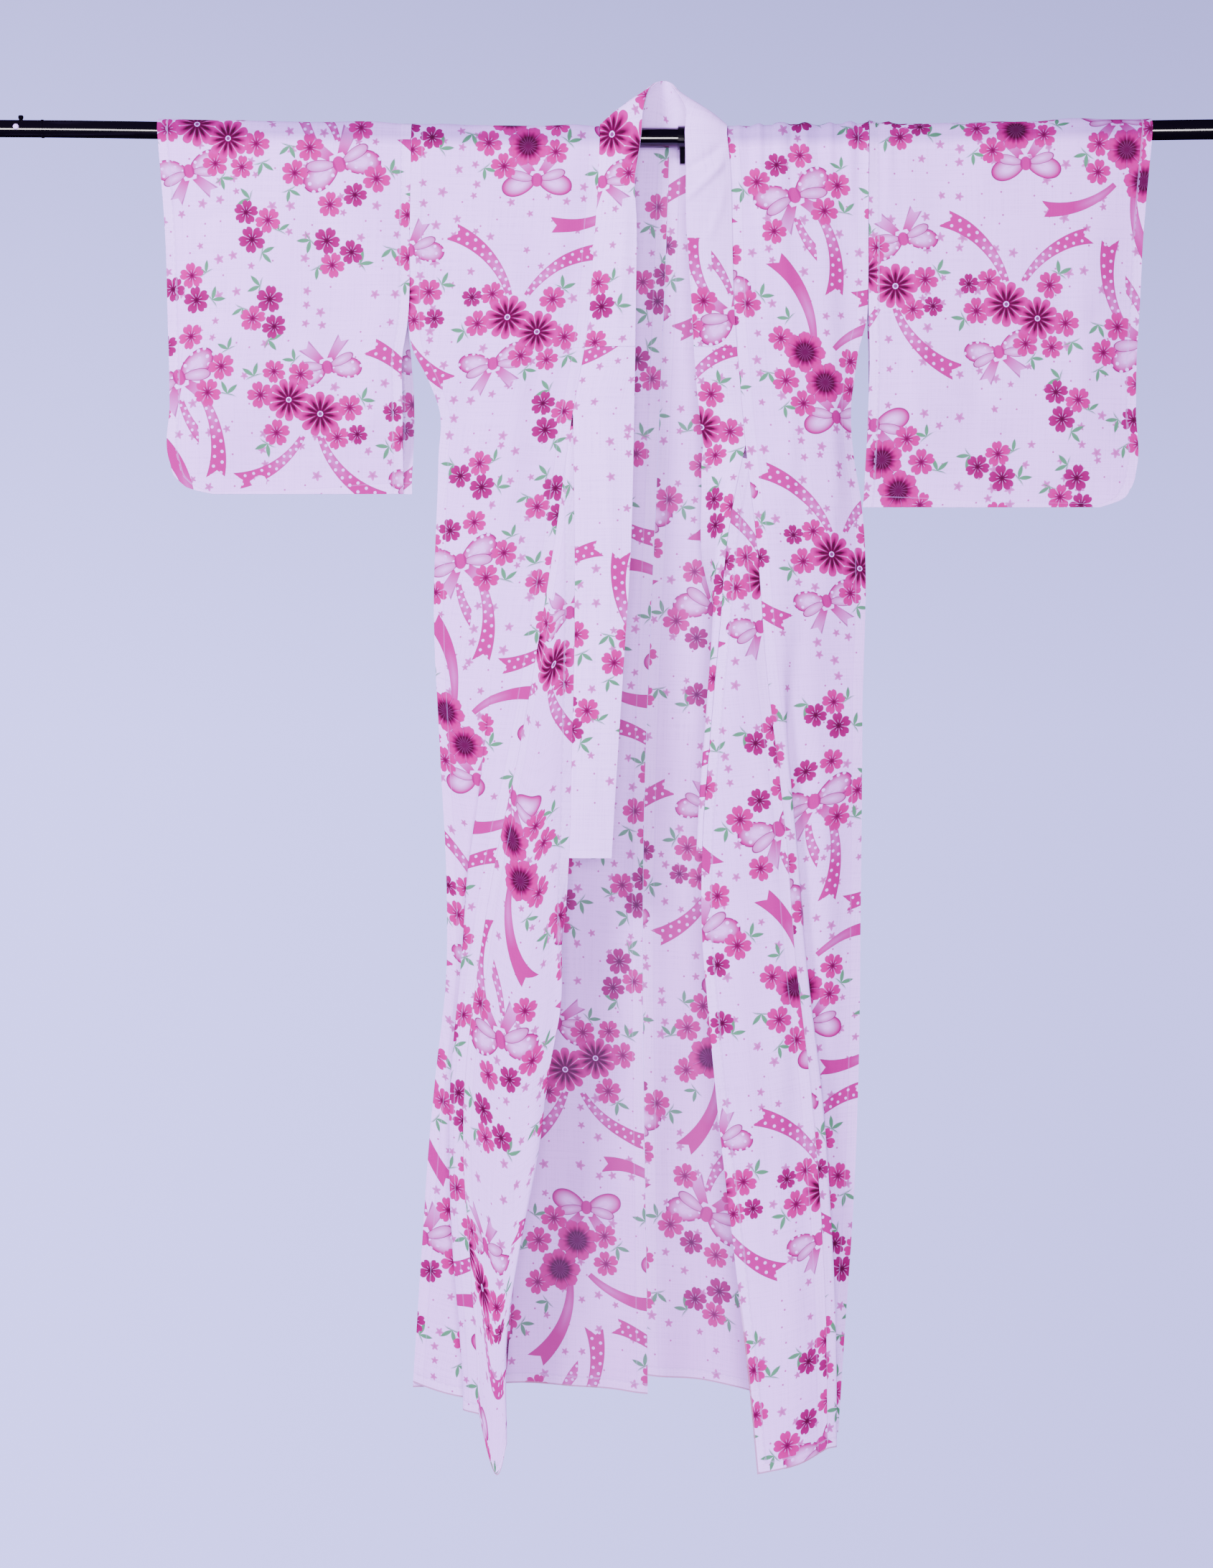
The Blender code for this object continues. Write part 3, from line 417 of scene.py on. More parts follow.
def swell(x, below):
    """Stand-off from the rod: gathers beside the neck, and the clamp ring under the cloth.

    Gathers are a cosine wave along x whose phase wanders, sharpened into narrow ridges,
    with a finer wave laid over it.
    """
    past = np.maximum(0, np.maximum(CLAMP_X[0] - x, x - CLAMP_X[1]))
    ring = CLAMP_SWELL * ease(1 - past / CLAMP_SPREAD) * ease(1 - below / RING_DROP)
    along = (x - GATHER_X[0]) / (GATHER_X[1] - GATHER_X[0])
    ends = ease(along / GATHER_ENDS[0]) * ease((1 - along) / GATHER_ENDS[1])
    wander, pace = GATHER_WANDER
    turn = 2 * math.pi * GATHER_COUNT * along + wander * np.sin(pace * along)
    height, turns, phase = GATHER_FINE
    fine = height * (0.5 - 0.5 * np.cos(turns * turn + phase))
    wave = (0.5 - 0.5 * np.cos(turn)) ** GATHER_POWER + fine
    return ring + GATHER_DEPTH * ends * wave * ease(1 - below / GATHER_DROP)


def across(stations, marks, u, z):
    """Points at shares u and heights z of a loft through the station tables.

    x and y are sums over the stations of a cubic weight in u times the table at z.
    """
    basis = np.eye(len(marks))
    weights = [smooth(marks, basis[k], u) for k in range(len(marks))]
    x = sum(w * hang(table, z, 1) for w, table in zip(weights, stations))
    y = sum(w * hang(table, z, 2) for w, table in zip(weights, stations))
    return x, y


def hem_height(hem, u):
    """Height of the hem at shares u of the way across."""
    shares, heights = zip(*hem)
    return smooth(shares, heights, u)


def outward(grid):
    """Unit normals of a grid: the column direction crossed with the row direction."""
    normal = np.cross(np.gradient(grid, axis=1), np.gradient(grid, axis=0))
    return normal / np.maximum(np.linalg.norm(normal, axis=2, keepdims=True), 1e-9)


def run(grid, axis):
    """Arc length along an axis of the grid, from its first line."""
    step = np.linalg.norm(np.diff(grid, axis=axis), axis=2)
    start = np.zeros_like(step.take([0], axis=axis))
    return np.concatenate((start, np.cumsum(step, axis=axis)), axis=axis)


# -------------------------------------------------------------- cloth surfaces
def hung_panel(stations, marks, top, hem, columns, rows):
    """Panel between a level line and its hem: z runs evenly from top to hem(u)."""
    u = np.linspace(0, 1, columns + 1)[None, :]
    v = np.linspace(0, 1, rows + 1)[:, None]
    z = top + (hem_height(hem, u) - top) * v
    x, y = across(stations, marks, u, z)
    return x, y, z


def fold_wave(x, z, phase):
    """Soft vertical folds of a back: depth * grow(z) * (1 - cos(2 pi n x + lean)) / 2."""
    grow = ease((FOLD_TOP - z) / FOLD_GROW)
    lean = FOLD_LEAN * np.sin(FOLD_TURNS * z + phase)
    turns = FOLD_COUNT * x / FOLD_SPAN + lean
    return FOLD_DEPTH * grow * (1 - np.cos(2 * math.pi * turns + phase)) / 2


def neck_share(degrees):
    """How far the neckline has run from the front's edge to the centre back seam."""
    return ease((degrees - NECK_TURN[0]) / NECK_TURN[1])


def strip_over_rod(front, back):
    """One strip: up the front, round the rod on an arc of radius WRAP_R, down the back."""
    fx, fy, fz = (part[::-1] for part in np.broadcast_arrays(*front))
    bx, by, bz = np.broadcast_arrays(*back)
    degrees = WRAP_ANGLES[1:-1, None]
    wx = fx[-1] + (bx[0] - fx[-1]) * neck_share(degrees)
    angle = np.radians(degrees)
    reach = WRAP_R + swell(wx, 0)
    over = (wx, reach * np.sin(angle), rod_height(wx) + reach * np.cos(angle))
    ahead = (fx, fy - swell(fx, -fz), fz + lift(fx, fz))
    behind = (bx, by + swell(bx, -bz), bz + lift(bx, bz))
    return np.concatenate([np.stack(part, axis=-1) for part in (ahead, over, behind)])


def inset_sides(grid, first, last):
    """Pull the two side edges of a grid in by the seam gaps given."""
    grid = grid.copy()
    for edge, inner, gap in ((0, 1, first), (-1, -2, last)):
        way = grid[:, inner] - grid[:, edge]
        grid[:, edge] += way / np.linalg.norm(way, axis=1, keepdims=True) * gap
    return grid


def body_strip(side, columns, step):
    """One half of the body cloth, from the front hem over the rod to the back hem."""
    rows = int(BODY_DROP / step)
    if side == "left":
        front = hung_panel((SIDE_LEFT, PLEAT_LEFT_INNER, PLEAT_LEFT_OUTER, SEAM_LEFT),
                           (0, 0.38, 0.74, 1), 0, HEM_FRONT_LEFT, columns, rows)
        stations = (mirrored(SIDE_LEFT), BACK_LEFT_MIDDLE, CENTRE_BACK)
        hem, phase, free = HEM_BACK_LEFT, FOLD_PHASE_LEFT, FOLD_FREE
    else:
        front = hung_panel((SEAM_RIGHT, PLEAT_RIGHT_EDGE, PLEAT_RIGHT_INNER,
                            PLEAT_RIGHT_OUTER, SIDE_RIGHT),
                           (0, 0.19, 0.45, 0.74, 1), 0, HEM_FRONT_RIGHT, columns, rows)
        stations = (CENTRE_BACK, BACK_RIGHT_MIDDLE, mirrored(SIDE_RIGHT))
        hem, phase, free = HEM_BACK_RIGHT, FOLD_PHASE_RIGHT, FOLD_FREE[::-1]
    x, y, z = hung_panel(stations, (0, 0.5, 1), 0, hem, columns, rows)
    u = np.linspace(0, 1, columns + 1)[None, :]
    y = y + fold_wave(x, z, phase) * ease(u / free[0]) * ease((1 - u) / free[1])
    return inset_sides(strip_over_rod(front, (x, y, z)), SEAM_GAP / 2, SEAM_GAP / 2)


def overlap_panel(stations, marks, point, hem):
    """A long overlap panel that tapers to a point at its top, from its hem upwards."""
    rows = int(OVERLAP_DROP / OVERLAP_STEP)
    x, y, z = hung_panel(stations, marks, point + POINT_STEP, hem, OVERLAP_COLUMNS, rows)
    grid = np.stack(np.broadcast_arrays(x, y, z + lift(x, z)), axis=-1)[::-1]
    return inset_sides(grid, SEAM_GAP / 2, SEAM_GAP / 2)


def sleeve_bag(table, columns, step):
    """Sleeve folded over the rod: front layer, arc over the rod, back layer.

    Each layer stands off by SIDE_Y at its outer and bottom seams and by WRAP_R inside.
    """
    rows = np.array(table, float)[::-1] * MM
    bottom = rows[0, 0]
    z = bottom * np.linspace(0, 1, int(-bottom / step) + 1)[:, None]
    u = np.linspace(0, 1, columns + 1)[None, :]
    outside = smooth(rows[:, 0], rows[:, 3], z)
    layers = []
    for column, face in ((1, -1), (2, 1)):
        inside = smooth(rows[:, 0], rows[:, column], z)
        x = inside + (outside - inside) * u
        room = ease((z - bottom) / SLEEVE_FLOOR)
        reach = ease(np.abs(outside - x) / SLEEVE_SPREAD)
        near_rod = ease(1 + z / SLEEVE_SHOULDER)
        part = room * (near_rod + (1 - near_rod) * reach)
        y = face * (SIDE_Y + (WRAP_R - SIDE_Y) * part)
        layers.append((x, y, z + 0 * x))
    grid = strip_over_rod(*layers)
    if table is SLEEVE_LEFT:
        grid = grid[:, ::-1]
        return inset_sides(grid, 0, SEAM_GAP / 2)
    return inset_sides(grid, SEAM_GAP / 2, 0)


def hanging_line(table, heights):
    """Points of a station table at the heights given."""
    x, y = hang(table, heights, 1), hang(table, heights, 2)
    return np.stack((x, y, heights + lift(x, heights)), axis=-1)


def collar_line(seam_table, edge_table, point, heights):
    """Where the collar is sewn on: to the body above the point, to the panel below it."""
    above = hanging_line(seam_table, heights)
    below = hanging_line(edge_table, heights)
    return np.where(heights[:, None] < point, below, above)


def neck_line():
    """Neckline over the rod, from the front at -X round the back to the front at +X."""
    points = []
    for front_x, degrees in ((SEAM_LEFT[0][1], WRAP_ANGLES[1:]),
                             (SEAM_RIGHT[0][1], WRAP_ANGLES[-2:0:-1])):
        x = (front_x + (CENTRE_BACK[0][1] - front_x) * neck_share(degrees)) * MM
        reach = WRAP_R + swell(x, 0)
        angle = np.radians(degrees)
        points.append(np.stack((x, reach * np.sin(angle),
                                rod_height(x) + reach * np.cos(angle)), axis=-1))
    return np.concatenate(points)


def rolled_sections(seam, u):
    """Sections of the collar at +X: flat at the neck, and rolled inwards lower down.

    A section is the running sum of steps whose heading turns by the roll's angle.
    """
    turn = np.array(COLLAR_TURN_RIGHT, float)[::-1]
    width = smooth(turn[:, 0] * MM, turn[:, 1], seam[:, 2])[:, None] * MM
    roll = np.radians(smooth(turn[:, 0] * MM, turn[:, 2], seam[:, 2]))[:, None]
    fine = np.linspace(0, 1, ROLL_POINTS)[None, :]
    heading = roll * ease(fine / ROLL_SHARE) - COLLAR_PROUD * ease(1 - roll)
    step = width / (fine.size - 1)
    across_run = np.cumsum(np.cos(heading) * step, axis=1) - np.cos(heading[:, :1]) * step
    rise = np.cumsum(np.sin(heading) * step, axis=1) - np.sin(heading[:, :1]) * step
    pick = np.round(u * (fine.size - 1)).astype(int)
    sections = np.repeat(seam[:, None], len(u), axis=1)
    sections[:, :, 0] -= across_run[:, pick]
    sections[:, :, 1] += rise[:, pick]
    return sections


def collar_band(out=0.0, covered=None):
    """Collar from its end at -X, round the neck, to its end at +X.

    covered keeps only the rows above that height; out moves the band outwards.
    """
    def rows(end):
        return np.linspace(0, end, int(-end / COLLAR_STEP) + 1)

    left, right = rows(COLLAR_END_LEFT), rows(COLLAR_END_RIGHT)
    neck = neck_line()
    seam_right = collar_line(SEAM_RIGHT, COLLAR_SEAM_RIGHT, POINT_RIGHT, right)
    seam = np.concatenate((collar_line(SEAM_LEFT, COLLAR_SEAM_LEFT, POINT_LEFT, left[::-1]),
                           neck, seam_right))
    crest = np.array(COLLAR_CREST, float)
    shares = np.linspace(0, 1, len(neck) + 2)[1:-1]
    free_neck = np.stack([smooth(crest[:, 0], crest[:, k], shares) * MM for k in (1, 2, 3)],
                         axis=-1)
    free_left = np.concatenate((hanging_line(COLLAR_FREE_LEFT, left[::-1]), free_neck))
    plain = seam[:len(free_left)]
    u = np.linspace(0, 1, COLLAR_COLUMNS + 1)
    flat = plain[:, None] + (free_left - plain)[:, None] * u[None, :, None]
    grid = np.concatenate((flat, rolled_sections(seam_right, u)))
    normal = outward(grid)
    at_neck = ease((seam[:, 2] + CREST_BAND) / CREST_BAND)[:, None]
    bulge = COLLAR_BULGE * np.sin(math.pi * u)[None, :, None] * np.ones((len(grid), 1, 1))
    bulge[len(free_left):] *= ease(1 + seam_right[:, 2] / CROWN_DROP)[:, None, None]
    grid = inset_sides(grid + normal * bulge, SEAM_GAP * (1 + 2 * at_neck), 0)
    grid = grid + normal * out
    if covered is None:
        return grid
    level = grid[:, 0, 2]
    keep = np.flatnonzero(level > covered)
    grid = grid[keep[0]:keep[-1] + 1]
    for end in (0, -1):
        grid[end, :, 2] = covered
    return grid


# ------------------------------------------------------------- node arithmetic
class Value:
    """A socket of a node tree; arithmetic on it adds Math nodes."""

    def __init__(self, graph, socket):
        self.graph = graph
        self.socket = socket

    def math(self, operation, *others, clamp=False):
        """A Math node on this value and the others, in that order."""
        settings = {"operation": operation, "use_clamp": clamp}
        return self.graph.node("ShaderNodeMath", settings, dict(enumerate((self, *others))))

    def __add__(self, other):
        return self.math("ADD", other)

    def __sub__(self, other):
        return self.math("SUBTRACT", other)

    def __rsub__(self, other):
        return self.graph.node("ShaderNodeMath", {"operation": "SUBTRACT"},
                               {0: other, 1: self})

    def __mul__(self, other):
        return self.math("MULTIPLY", other)

    def __truediv__(self, other):
        return self.math("DIVIDE", other)

    def __lt__(self, other):
        return self.math("LESS_THAN", other)

    def __gt__(self, other):
        return self.math("GREATER_THAN", other)

    def __abs__(self):
        return self.math("ABSOLUTE")

    __radd__ = __add__
    __rmul__ = __mul__

    def most(self, other):
        """The larger of this value and another."""
        return self.math("MAXIMUM", other)

    def clamped(self):
        """This value kept between 0 and 1."""
        return self.math("ADD", 0.0, clamp=True)

    def fade(self, width):
        """0 where this value is negative, 1 from the width given upwards."""
        return self.math("DIVIDE", width, clamp=True)

    def zigzag(self):
        """Triangle wave of this value between 0 and 1."""
        return self.math("PINGPONG", 1.0)

    def line(self, at, half, blur):
        """1 within half of the value given, less what the blur takes, and 0 outside."""
        return (half - abs(self - at)).fade(blur)


class Graph:
    """A material's node tree, with one method that adds every node."""

    def __init__(self, material):
        material.use_nodes = True
        self.tree = material.node_tree
        self.tree.nodes.clear()

    def node(self, kind, settings=None, inputs=None, output=0):
        """Add a node: its settings first, then the values or links of its sockets."""
        made = self.tree.nodes.new(kind)
        for key, value in (settings or {}).items():
            if key == "stops":
                self.set_stops(made.color_ramp, value)
            else:
                setattr(made, key, value)
        for key, value in (inputs or {}).items():
            socket = self.find(made.inputs, key)
            if isinstance(value, Value):
                self.tree.links.new(value.socket, socket)
            else:
                socket.default_value = value
        return Value(self, self.find(made.outputs, output)) if made.outputs else made

    @staticmethod
    def find(sockets, key):
        """A socket by its place, its identifier or its name."""
        if isinstance(key, int):
            return sockets[key]
        return next(s for s in sockets if key in (s.identifier, s.name))

    @staticmethod
    def set_stops(ramp, stops):
        """Colour stops of a ramp: pairs of place and linear colour."""
        while len(ramp.elements) < len(stops):
            ramp.elements.new(0.5)
        for element, (place, colour) in zip(ramp.elements, stops):
            element.position = place
            element.color = (*colour, 1)

    def other(self, value, output):
        """Another output of the node that a value comes from."""
        return Value(self, self.find(value.socket.node.outputs, output))

    def mix(self, factor, first, second, blend="MIX"):
        """Two colours mixed, or blended in another way, as far as the factor says."""
        first, second = ((*c, 1) if isinstance(c, tuple) else c for c in (first, second))
        return self.node("ShaderNodeMix", {"data_type": "RGBA", "blend_type": blend},
                         {"Factor_Float": factor, "A_Color": first, "B_Color": second},
                         "Result_Color")

    def tint(self, factor, colour, through):
        """A colour multiplied by another as far as the factor says."""
        return self.mix(factor, colour, through, "MULTIPLY")

    def choose(self, factor, first, second):
        """Mix of two vectors."""
        return self.node("ShaderNodeMix", {"data_type": "VECTOR"},
                         {"Factor_Float": factor, "A_Vector": first, "B_Vector": second},
                         "Result_Vector")

    def ramp(self, share, *stops):
        """The colour of a ramp of stops, each a place and a colour, at a share."""
        return self.node("ShaderNodeValToRGB", {"stops": stops}, {0: share})

    def length(self, vector):
        """Length of a vector."""
        return self.node("ShaderNodeVectorMath", {"operation": "LENGTH"}, {0: vector},
                         "Value")

    def parts(self, vector):
        """x and y of a vector; z is another output of the same node."""
        x = self.node("ShaderNodeSeparateXYZ", {}, {0: vector})
        return x, self.other(x, 1)

    def turned(self, vector):
        """Angle of a vector about the origin."""
        x, y = self.parts(vector)
        return y.math("ARCTAN2", x)

    def point(self):
        """The point on the piece, in the frame's metres."""
        return self.node("ShaderNodeTexCoord", {}, {}, "Object")

    def uv(self, name):
        """The point in one of the piece's own flat maps."""
        return self.node("ShaderNodeUVMap", {"uv_map": name})

    def stretched(self, vector, *scale):
        """A vector whose x, y and z are each multiplied by a scale."""
        return self.node("ShaderNodeMapping", {}, {"Vector": vector, "Scale": scale})

    def placed(self, vector, x, y, degrees=0.0, scale=1.0, hand=1):
        """The point in the frame of something at x, y, turned by the degrees given.

        hand is -1 where the frame is seen in a mirror.
        """
        return self.node("ShaderNodeMapping", {"vector_type": "TEXTURE"}, {
            "Vector": vector, "Location": (x, y, 0), "Scale": (scale * hand, scale, 1),
            "Rotation": (0, 0, math.radians(degrees))})

    def nearest(self, vector, places):
        """The point in the frame of whichever place is nearest, and its distance.

        places are rows of x, y, degrees, scale (and hand); the smaller distance wins.
        """
        best = self.placed(vector, *places[0])
        reach = self.length(best)
        for place in places[1:]:
            other = self.placed(vector, *place)
            distance = self.length(other)
            best = self.choose(distance < reach, best, other)
            reach = reach.math("MINIMUM", distance)
        return best, reach

    def noise(self, vector, scale, detail=2.0, dimensions="3D"):
        """Soft noise of a point, with so many cells to a metre."""
        return self.node("ShaderNodeTexNoise", {"noise_dimensions": dimensions},
                         {"Vector": vector, "Scale": scale, "Detail": detail})

    def relief(self, strength, distance, height):
        """The normal of a surface raised by a height."""
        return self.node("ShaderNodeBump", {}, {
            "Strength": strength, "Distance": distance, "Height": height})

    def finish(self, sockets):
        """The whole surface: one Principled shader with the sockets given."""
        shader = self.node("ShaderNodeBsdfPrincipled", {}, sockets)
        self.node("ShaderNodeOutputMaterial", {}, {"Surface": shader})


def new_look(name):
    """A new material and its node tree."""
    made = bpy.data.materials.new(name)
    return made, Graph(made)


# ---------------------------------------------------------------- print motifs
# Every motif returns its mask and its colour.  Lengths are in millimetres.
def lighter(colour, share):
    """A colour moved towards white by a share, in even steps to the eye."""
    return tuple((c ** (1 / 2.4) * (1 - share) + share) ** 2.4 for c in colour)


def darker(colour, share):
    """A colour moved towards black by a share."""
    return tuple(c * (1 - share) for c in colour)


def flower(g, point, places, radius, petals):
    """Place in the nearest flower: share of the radius, side, angle and distance.

    side is a triangle wave of the angle, 0 on a petal's middle and 1 between two petals.
    """
    here, reach = g.nearest(point, places)
    share = reach / radius
    angle = g.turned(here)
    return share, (angle * (petals / math.pi)).zigzag(), angle, reach


def paint_daisies(g, point, places, look):
    """Long petals: edge at 1 - 0.26 s^3, s = 0 on a petal's middle and 1 between petals.

    A dark streak runs out from the heart on each petal, pale lines part the petals, and a
    small ringed bead sits in the middle.
    """
    share, side, _, reach = flower(g, point, places, DAISY_RADIUS, DAISY_PETALS)
    edge = 1.0 - side * side * side * 0.26
    mask = (edge - share).fade(EDGE_BLUR / DAISY_RADIUS)
    colour = g.ramp(share, (0.00, darker(look.petal, 0.85)), (0.40, darker(look.petal, 0.55)),
                    (0.62, look.petal[:]), (1.00, lighter(look.petal, 0.10)))
    streak = (1.0 - abs(share - 0.38) * 2.1).clamped() * (1.0 - side * 1.25).clamped()
    colour = g.mix(streak.fade(0.6), colour, look.heart[:])
    between = (side - 0.84).fade(0.16) * (share - 0.22).fade(0.2)
    colour = g.mix(between * 0.75, colour, lighter(look.petal, 0.62))
    colour = g.mix((BEAD_RADIUS - reach).fade(0.8), colour, lighter(look.heart, 0.30))
    colour = g.mix(reach.line(BEAD_RING, 0.9, 0.7), colour, DOT_WHITE)
    return mask, colour


def paint_cosmos(g, point, places, look):
    """Broad scalloped petals: edge at 1 - 0.17 s^2 with a fine ruffle; large dark heart."""
    share, side, angle, _ = flower(g, point, places, COSMOS_RADIUS, COSMOS_PETALS)
    ruffle = (angle * (COSMOS_PETALS * 3.0)).math("SINE") * 0.018
    edge = 1.0 - side * side * 0.17 + ruffle
    mask = (edge - share).fade(EDGE_BLUR / COSMOS_RADIUS)
    rays = (angle * COSMOS_RAYS).math("SINE")
    colour = g.ramp(share + rays * 0.035, (0.00, lighter(look.heart, 0.08)),
                    (0.40, look.heart[:]), (0.56, darker(look.petal, 0.50)),
                    (0.70, look.petal[:]), (1.00, lighter(look.petal, 0.10)))
    threads = (rays - 0.55).fade(0.5) * (0.46 - share).fade(0.1) * (share - 0.08).fade(0.1)
    colour = g.mix(threads * 0.5, colour, lighter(look.heart, 0.35))
    nick = (side - 0.80).fade(0.2) * (share - 0.62).fade(0.2)
    colour = g.mix(nick * 0.75, colour, look.heart[:])
    pale = (side - 0.90).fade(0.1) * (share - 0.40).fade(0.1)
    return mask, g.mix(pale * 0.5, colour, lighter(look.petal, 0.40))


def paint_blossoms(g, point, places, petal):
    """Five notched petals: edge at 1 - 0.38 s^3, less a nick at each petal's middle."""
    share, side, _, _ = flower(g, point, places, BLOSSOM_RADIUS, 5)
    edge = 1.0 - side * side * side * 0.38 - (1.0 - side * 4.5).clamped() * 0.13
    mask = (edge - share).fade(EDGE_BLUR / BLOSSOM_RADIUS)
    colour = g.ramp(share, (0.00, darker(petal, 0.80)), (0.24, darker(petal, 0.50)),
                    (0.50, petal), (1.00, lighter(petal, 0.08)))
    stamen = share.line(0.33, 0.13, 0.06) * (1.0 - side * 5.0).clamped()
    colour = g.mix(stamen * 0.75, colour, lighter(petal, 0.60))
    between = (side - 0.84).fade(0.14) * (share - 0.15).fade(0.1)
    return mask, g.mix(between * 0.70, colour, lighter(petal, 0.60))


def paint_leaves(g, point, places, look):
    """Sprigs of five pointed leaves: edge at 1 - 0.95 s over the upper half turn."""
    here, reach = g.nearest(point, places)
    share = reach / SPRIG_RADIUS
    x, y = g.parts(here)
    angle = y.math("ARCTAN2", x)
    side = (angle * (5.0 / math.pi) + 0.5).zigzag()
    edge = 1.0 - side * 0.95
    mask = (edge - share).fade(0.10) * (y + 2.0).fade(2.0)
    vein = (0.14 - side).fade(0.08) * 0.35
    return mask, g.mix(vein, look.leaf[:], darker(look.leaf, 0.45))


def paint_tails(g, point, places, look, dotted):
    """Ribbon tails: strips of a ring that start at their place, narrow first, forked last.

    Along the strip t runs from -1 to 1; its half width is TAIL_WIDTH (0.34 + 0.16 t); its
    end is cut where t > 1 - 0.16 (1 - |s|) - 0.06 s, with s across the strip.
    """
    best, _ = g.nearest(point, places)
    ring = g.node("ShaderNodeVectorMath", {"operation": "ADD"},
                  {0: best, 1: (TAIL_BEND, 0, 0)})
    along = g.turned(ring) / TAIL_HALF - 1.0
    breadth = along * (TAIL_WIDTH * 0.16) + TAIL_WIDTH * 0.34
    over = (g.length(ring) - TAIL_BEND) / breadth
    side = abs(over)
    end = 1.0 - (1.0 - side) * 0.16 - over * 0.06
    mask = ((1.0 - side) * breadth).fade(EDGE_BLUR)
    mask = mask * ((end - along) * (TAIL_BEND * TAIL_HALF)).fade(EDGE_BLUR)
    mask = mask * (along > -1.0)
    sheen = (1.0 - abs(along + 0.45) * 1.5).clamped() * (1.0 - side * 0.8).clamped()
    colour = g.mix(sheen.fade(0.8) * 0.5, look.ribbon[:], lighter(look.ribbon, 0.50))
    colour = g.mix((side - 0.88).fade(0.08) * 0.6, colour, darker(look.ribbon, 0.45))
    if dotted:
        stagger = (over > 0.0) * 0.5
        spots = along * (TAIL_BEND * TAIL_HALF / SPOT_PITCH) + stagger
        gap = (spots.math("FRACT") - 0.5) * SPOT_PITCH
        rise = (side - 0.48) * breadth
        spot = (gap * gap + rise * rise).math("SQRT")
        colour = g.mix((SPOT_RADIUS - spot).fade(0.6) * 0.92, colour, DOT_WHITE)
    return mask, colour


def egg(u, v, length, lean, girth, least):
    """sqrt((u / length)^2 + v^2 / (girth + lean u)): 1 on the edge of an egg."""
    thick = (u * lean + girth).most(least)
    return (u * u / length ** 2 + v * v / thick).math("SQRT")


def paint_bow(g, point, place, look, dotted):
    """Bow: two mirrored egg-shaped loops, a lower fold in each, short tails and a knot.

    The knot's edge is x^2 / 42 + y^2 / 66 = 1; a tail is a strip 12 wide with a notched end.
    """
    here = g.placed(point, *place)
    x, y = g.parts(here)
    half = g.node("ShaderNodeCombineXYZ", {}, {0: abs(x), 1: y})
    u, v = g.parts(g.placed(half, *BOW_LOOP))
    loop_edge = egg(u, v, 20.0, 2.6, 145.0, 40.0)
    loop = ((1.0 - loop_edge) * 13.0).fade(EDGE_BLUR)
    fold_edge = egg(*g.parts(g.placed(half, *BOW_FOLD)), 15.0, 0.9, 34.0, 12.0)
    fold = ((1.0 - fold_edge) * 8.0).fade(EDGE_BLUR)
    tu, tv = g.parts(g.placed(half, *BOW_TAIL))
    notch = 15.0 - (6.0 - abs(tv)) * 0.7
    tail = (6.0 - abs(tv) - tu * -0.12).fade(EDGE_BLUR) * (notch - abs(tu)).fade(0.8)
    knot = ((1.0 - (x * x / 42.0 + y * y / 66.0).math("SQRT")) * 7.0).fade(EDGE_BLUR)
    ribbon = look.ribbon[:]
    pale = lighter(ribbon, 0.78)
    rim = darker(ribbon, 0.55)
    tail_colour = g.mix((tu + 12.0).fade(24.0), ribbon, lighter(ribbon, 0.55))
    tail_colour = g.mix((abs(tv) - 4.9).fade(0.9) * 0.6, tail_colour, rim)
    colour = g.mix((0.86 - loop_edge).fade(0.60), ribbon, pale)
    crease = (1.0 - abs(v + 1.5) / 1.6).clamped() * (2.0 - u).fade(16.0)
    colour = g.mix(crease * 0.65, colour, rim)
    colour = g.mix((loop_edge - 0.89).fade(0.05) * 0.95, colour, rim)
    if dotted:
        cell = g.node("ShaderNodeTexVoronoi",
                      {"voronoi_dimensions": "2D", "feature": "F1"},
                      {"Vector": here, "Scale": 0.13, "Randomness": 0.35}, "Distance")
        colour = g.mix((0.26 - cell).fade(0.08) * (loop_edge - 0.3).fade(0.3), colour,
                       DOT_WHITE)
    colour = g.mix(loop, tail_colour, colour)
    fold_colour = g.mix((fold_edge - 0.84).fade(0.08),
                        g.mix(fold_edge * 0.8, pale, ribbon), rim)
    colour = g.mix(fold, colour, fold_colour)
    ridge = (abs(x) - 3.4).fade(1.2) * 0.5
    colour = g.mix(knot, colour, g.mix(ridge, ribbon, rim))
    return loop.most(fold).most(knot).most(tail), colour


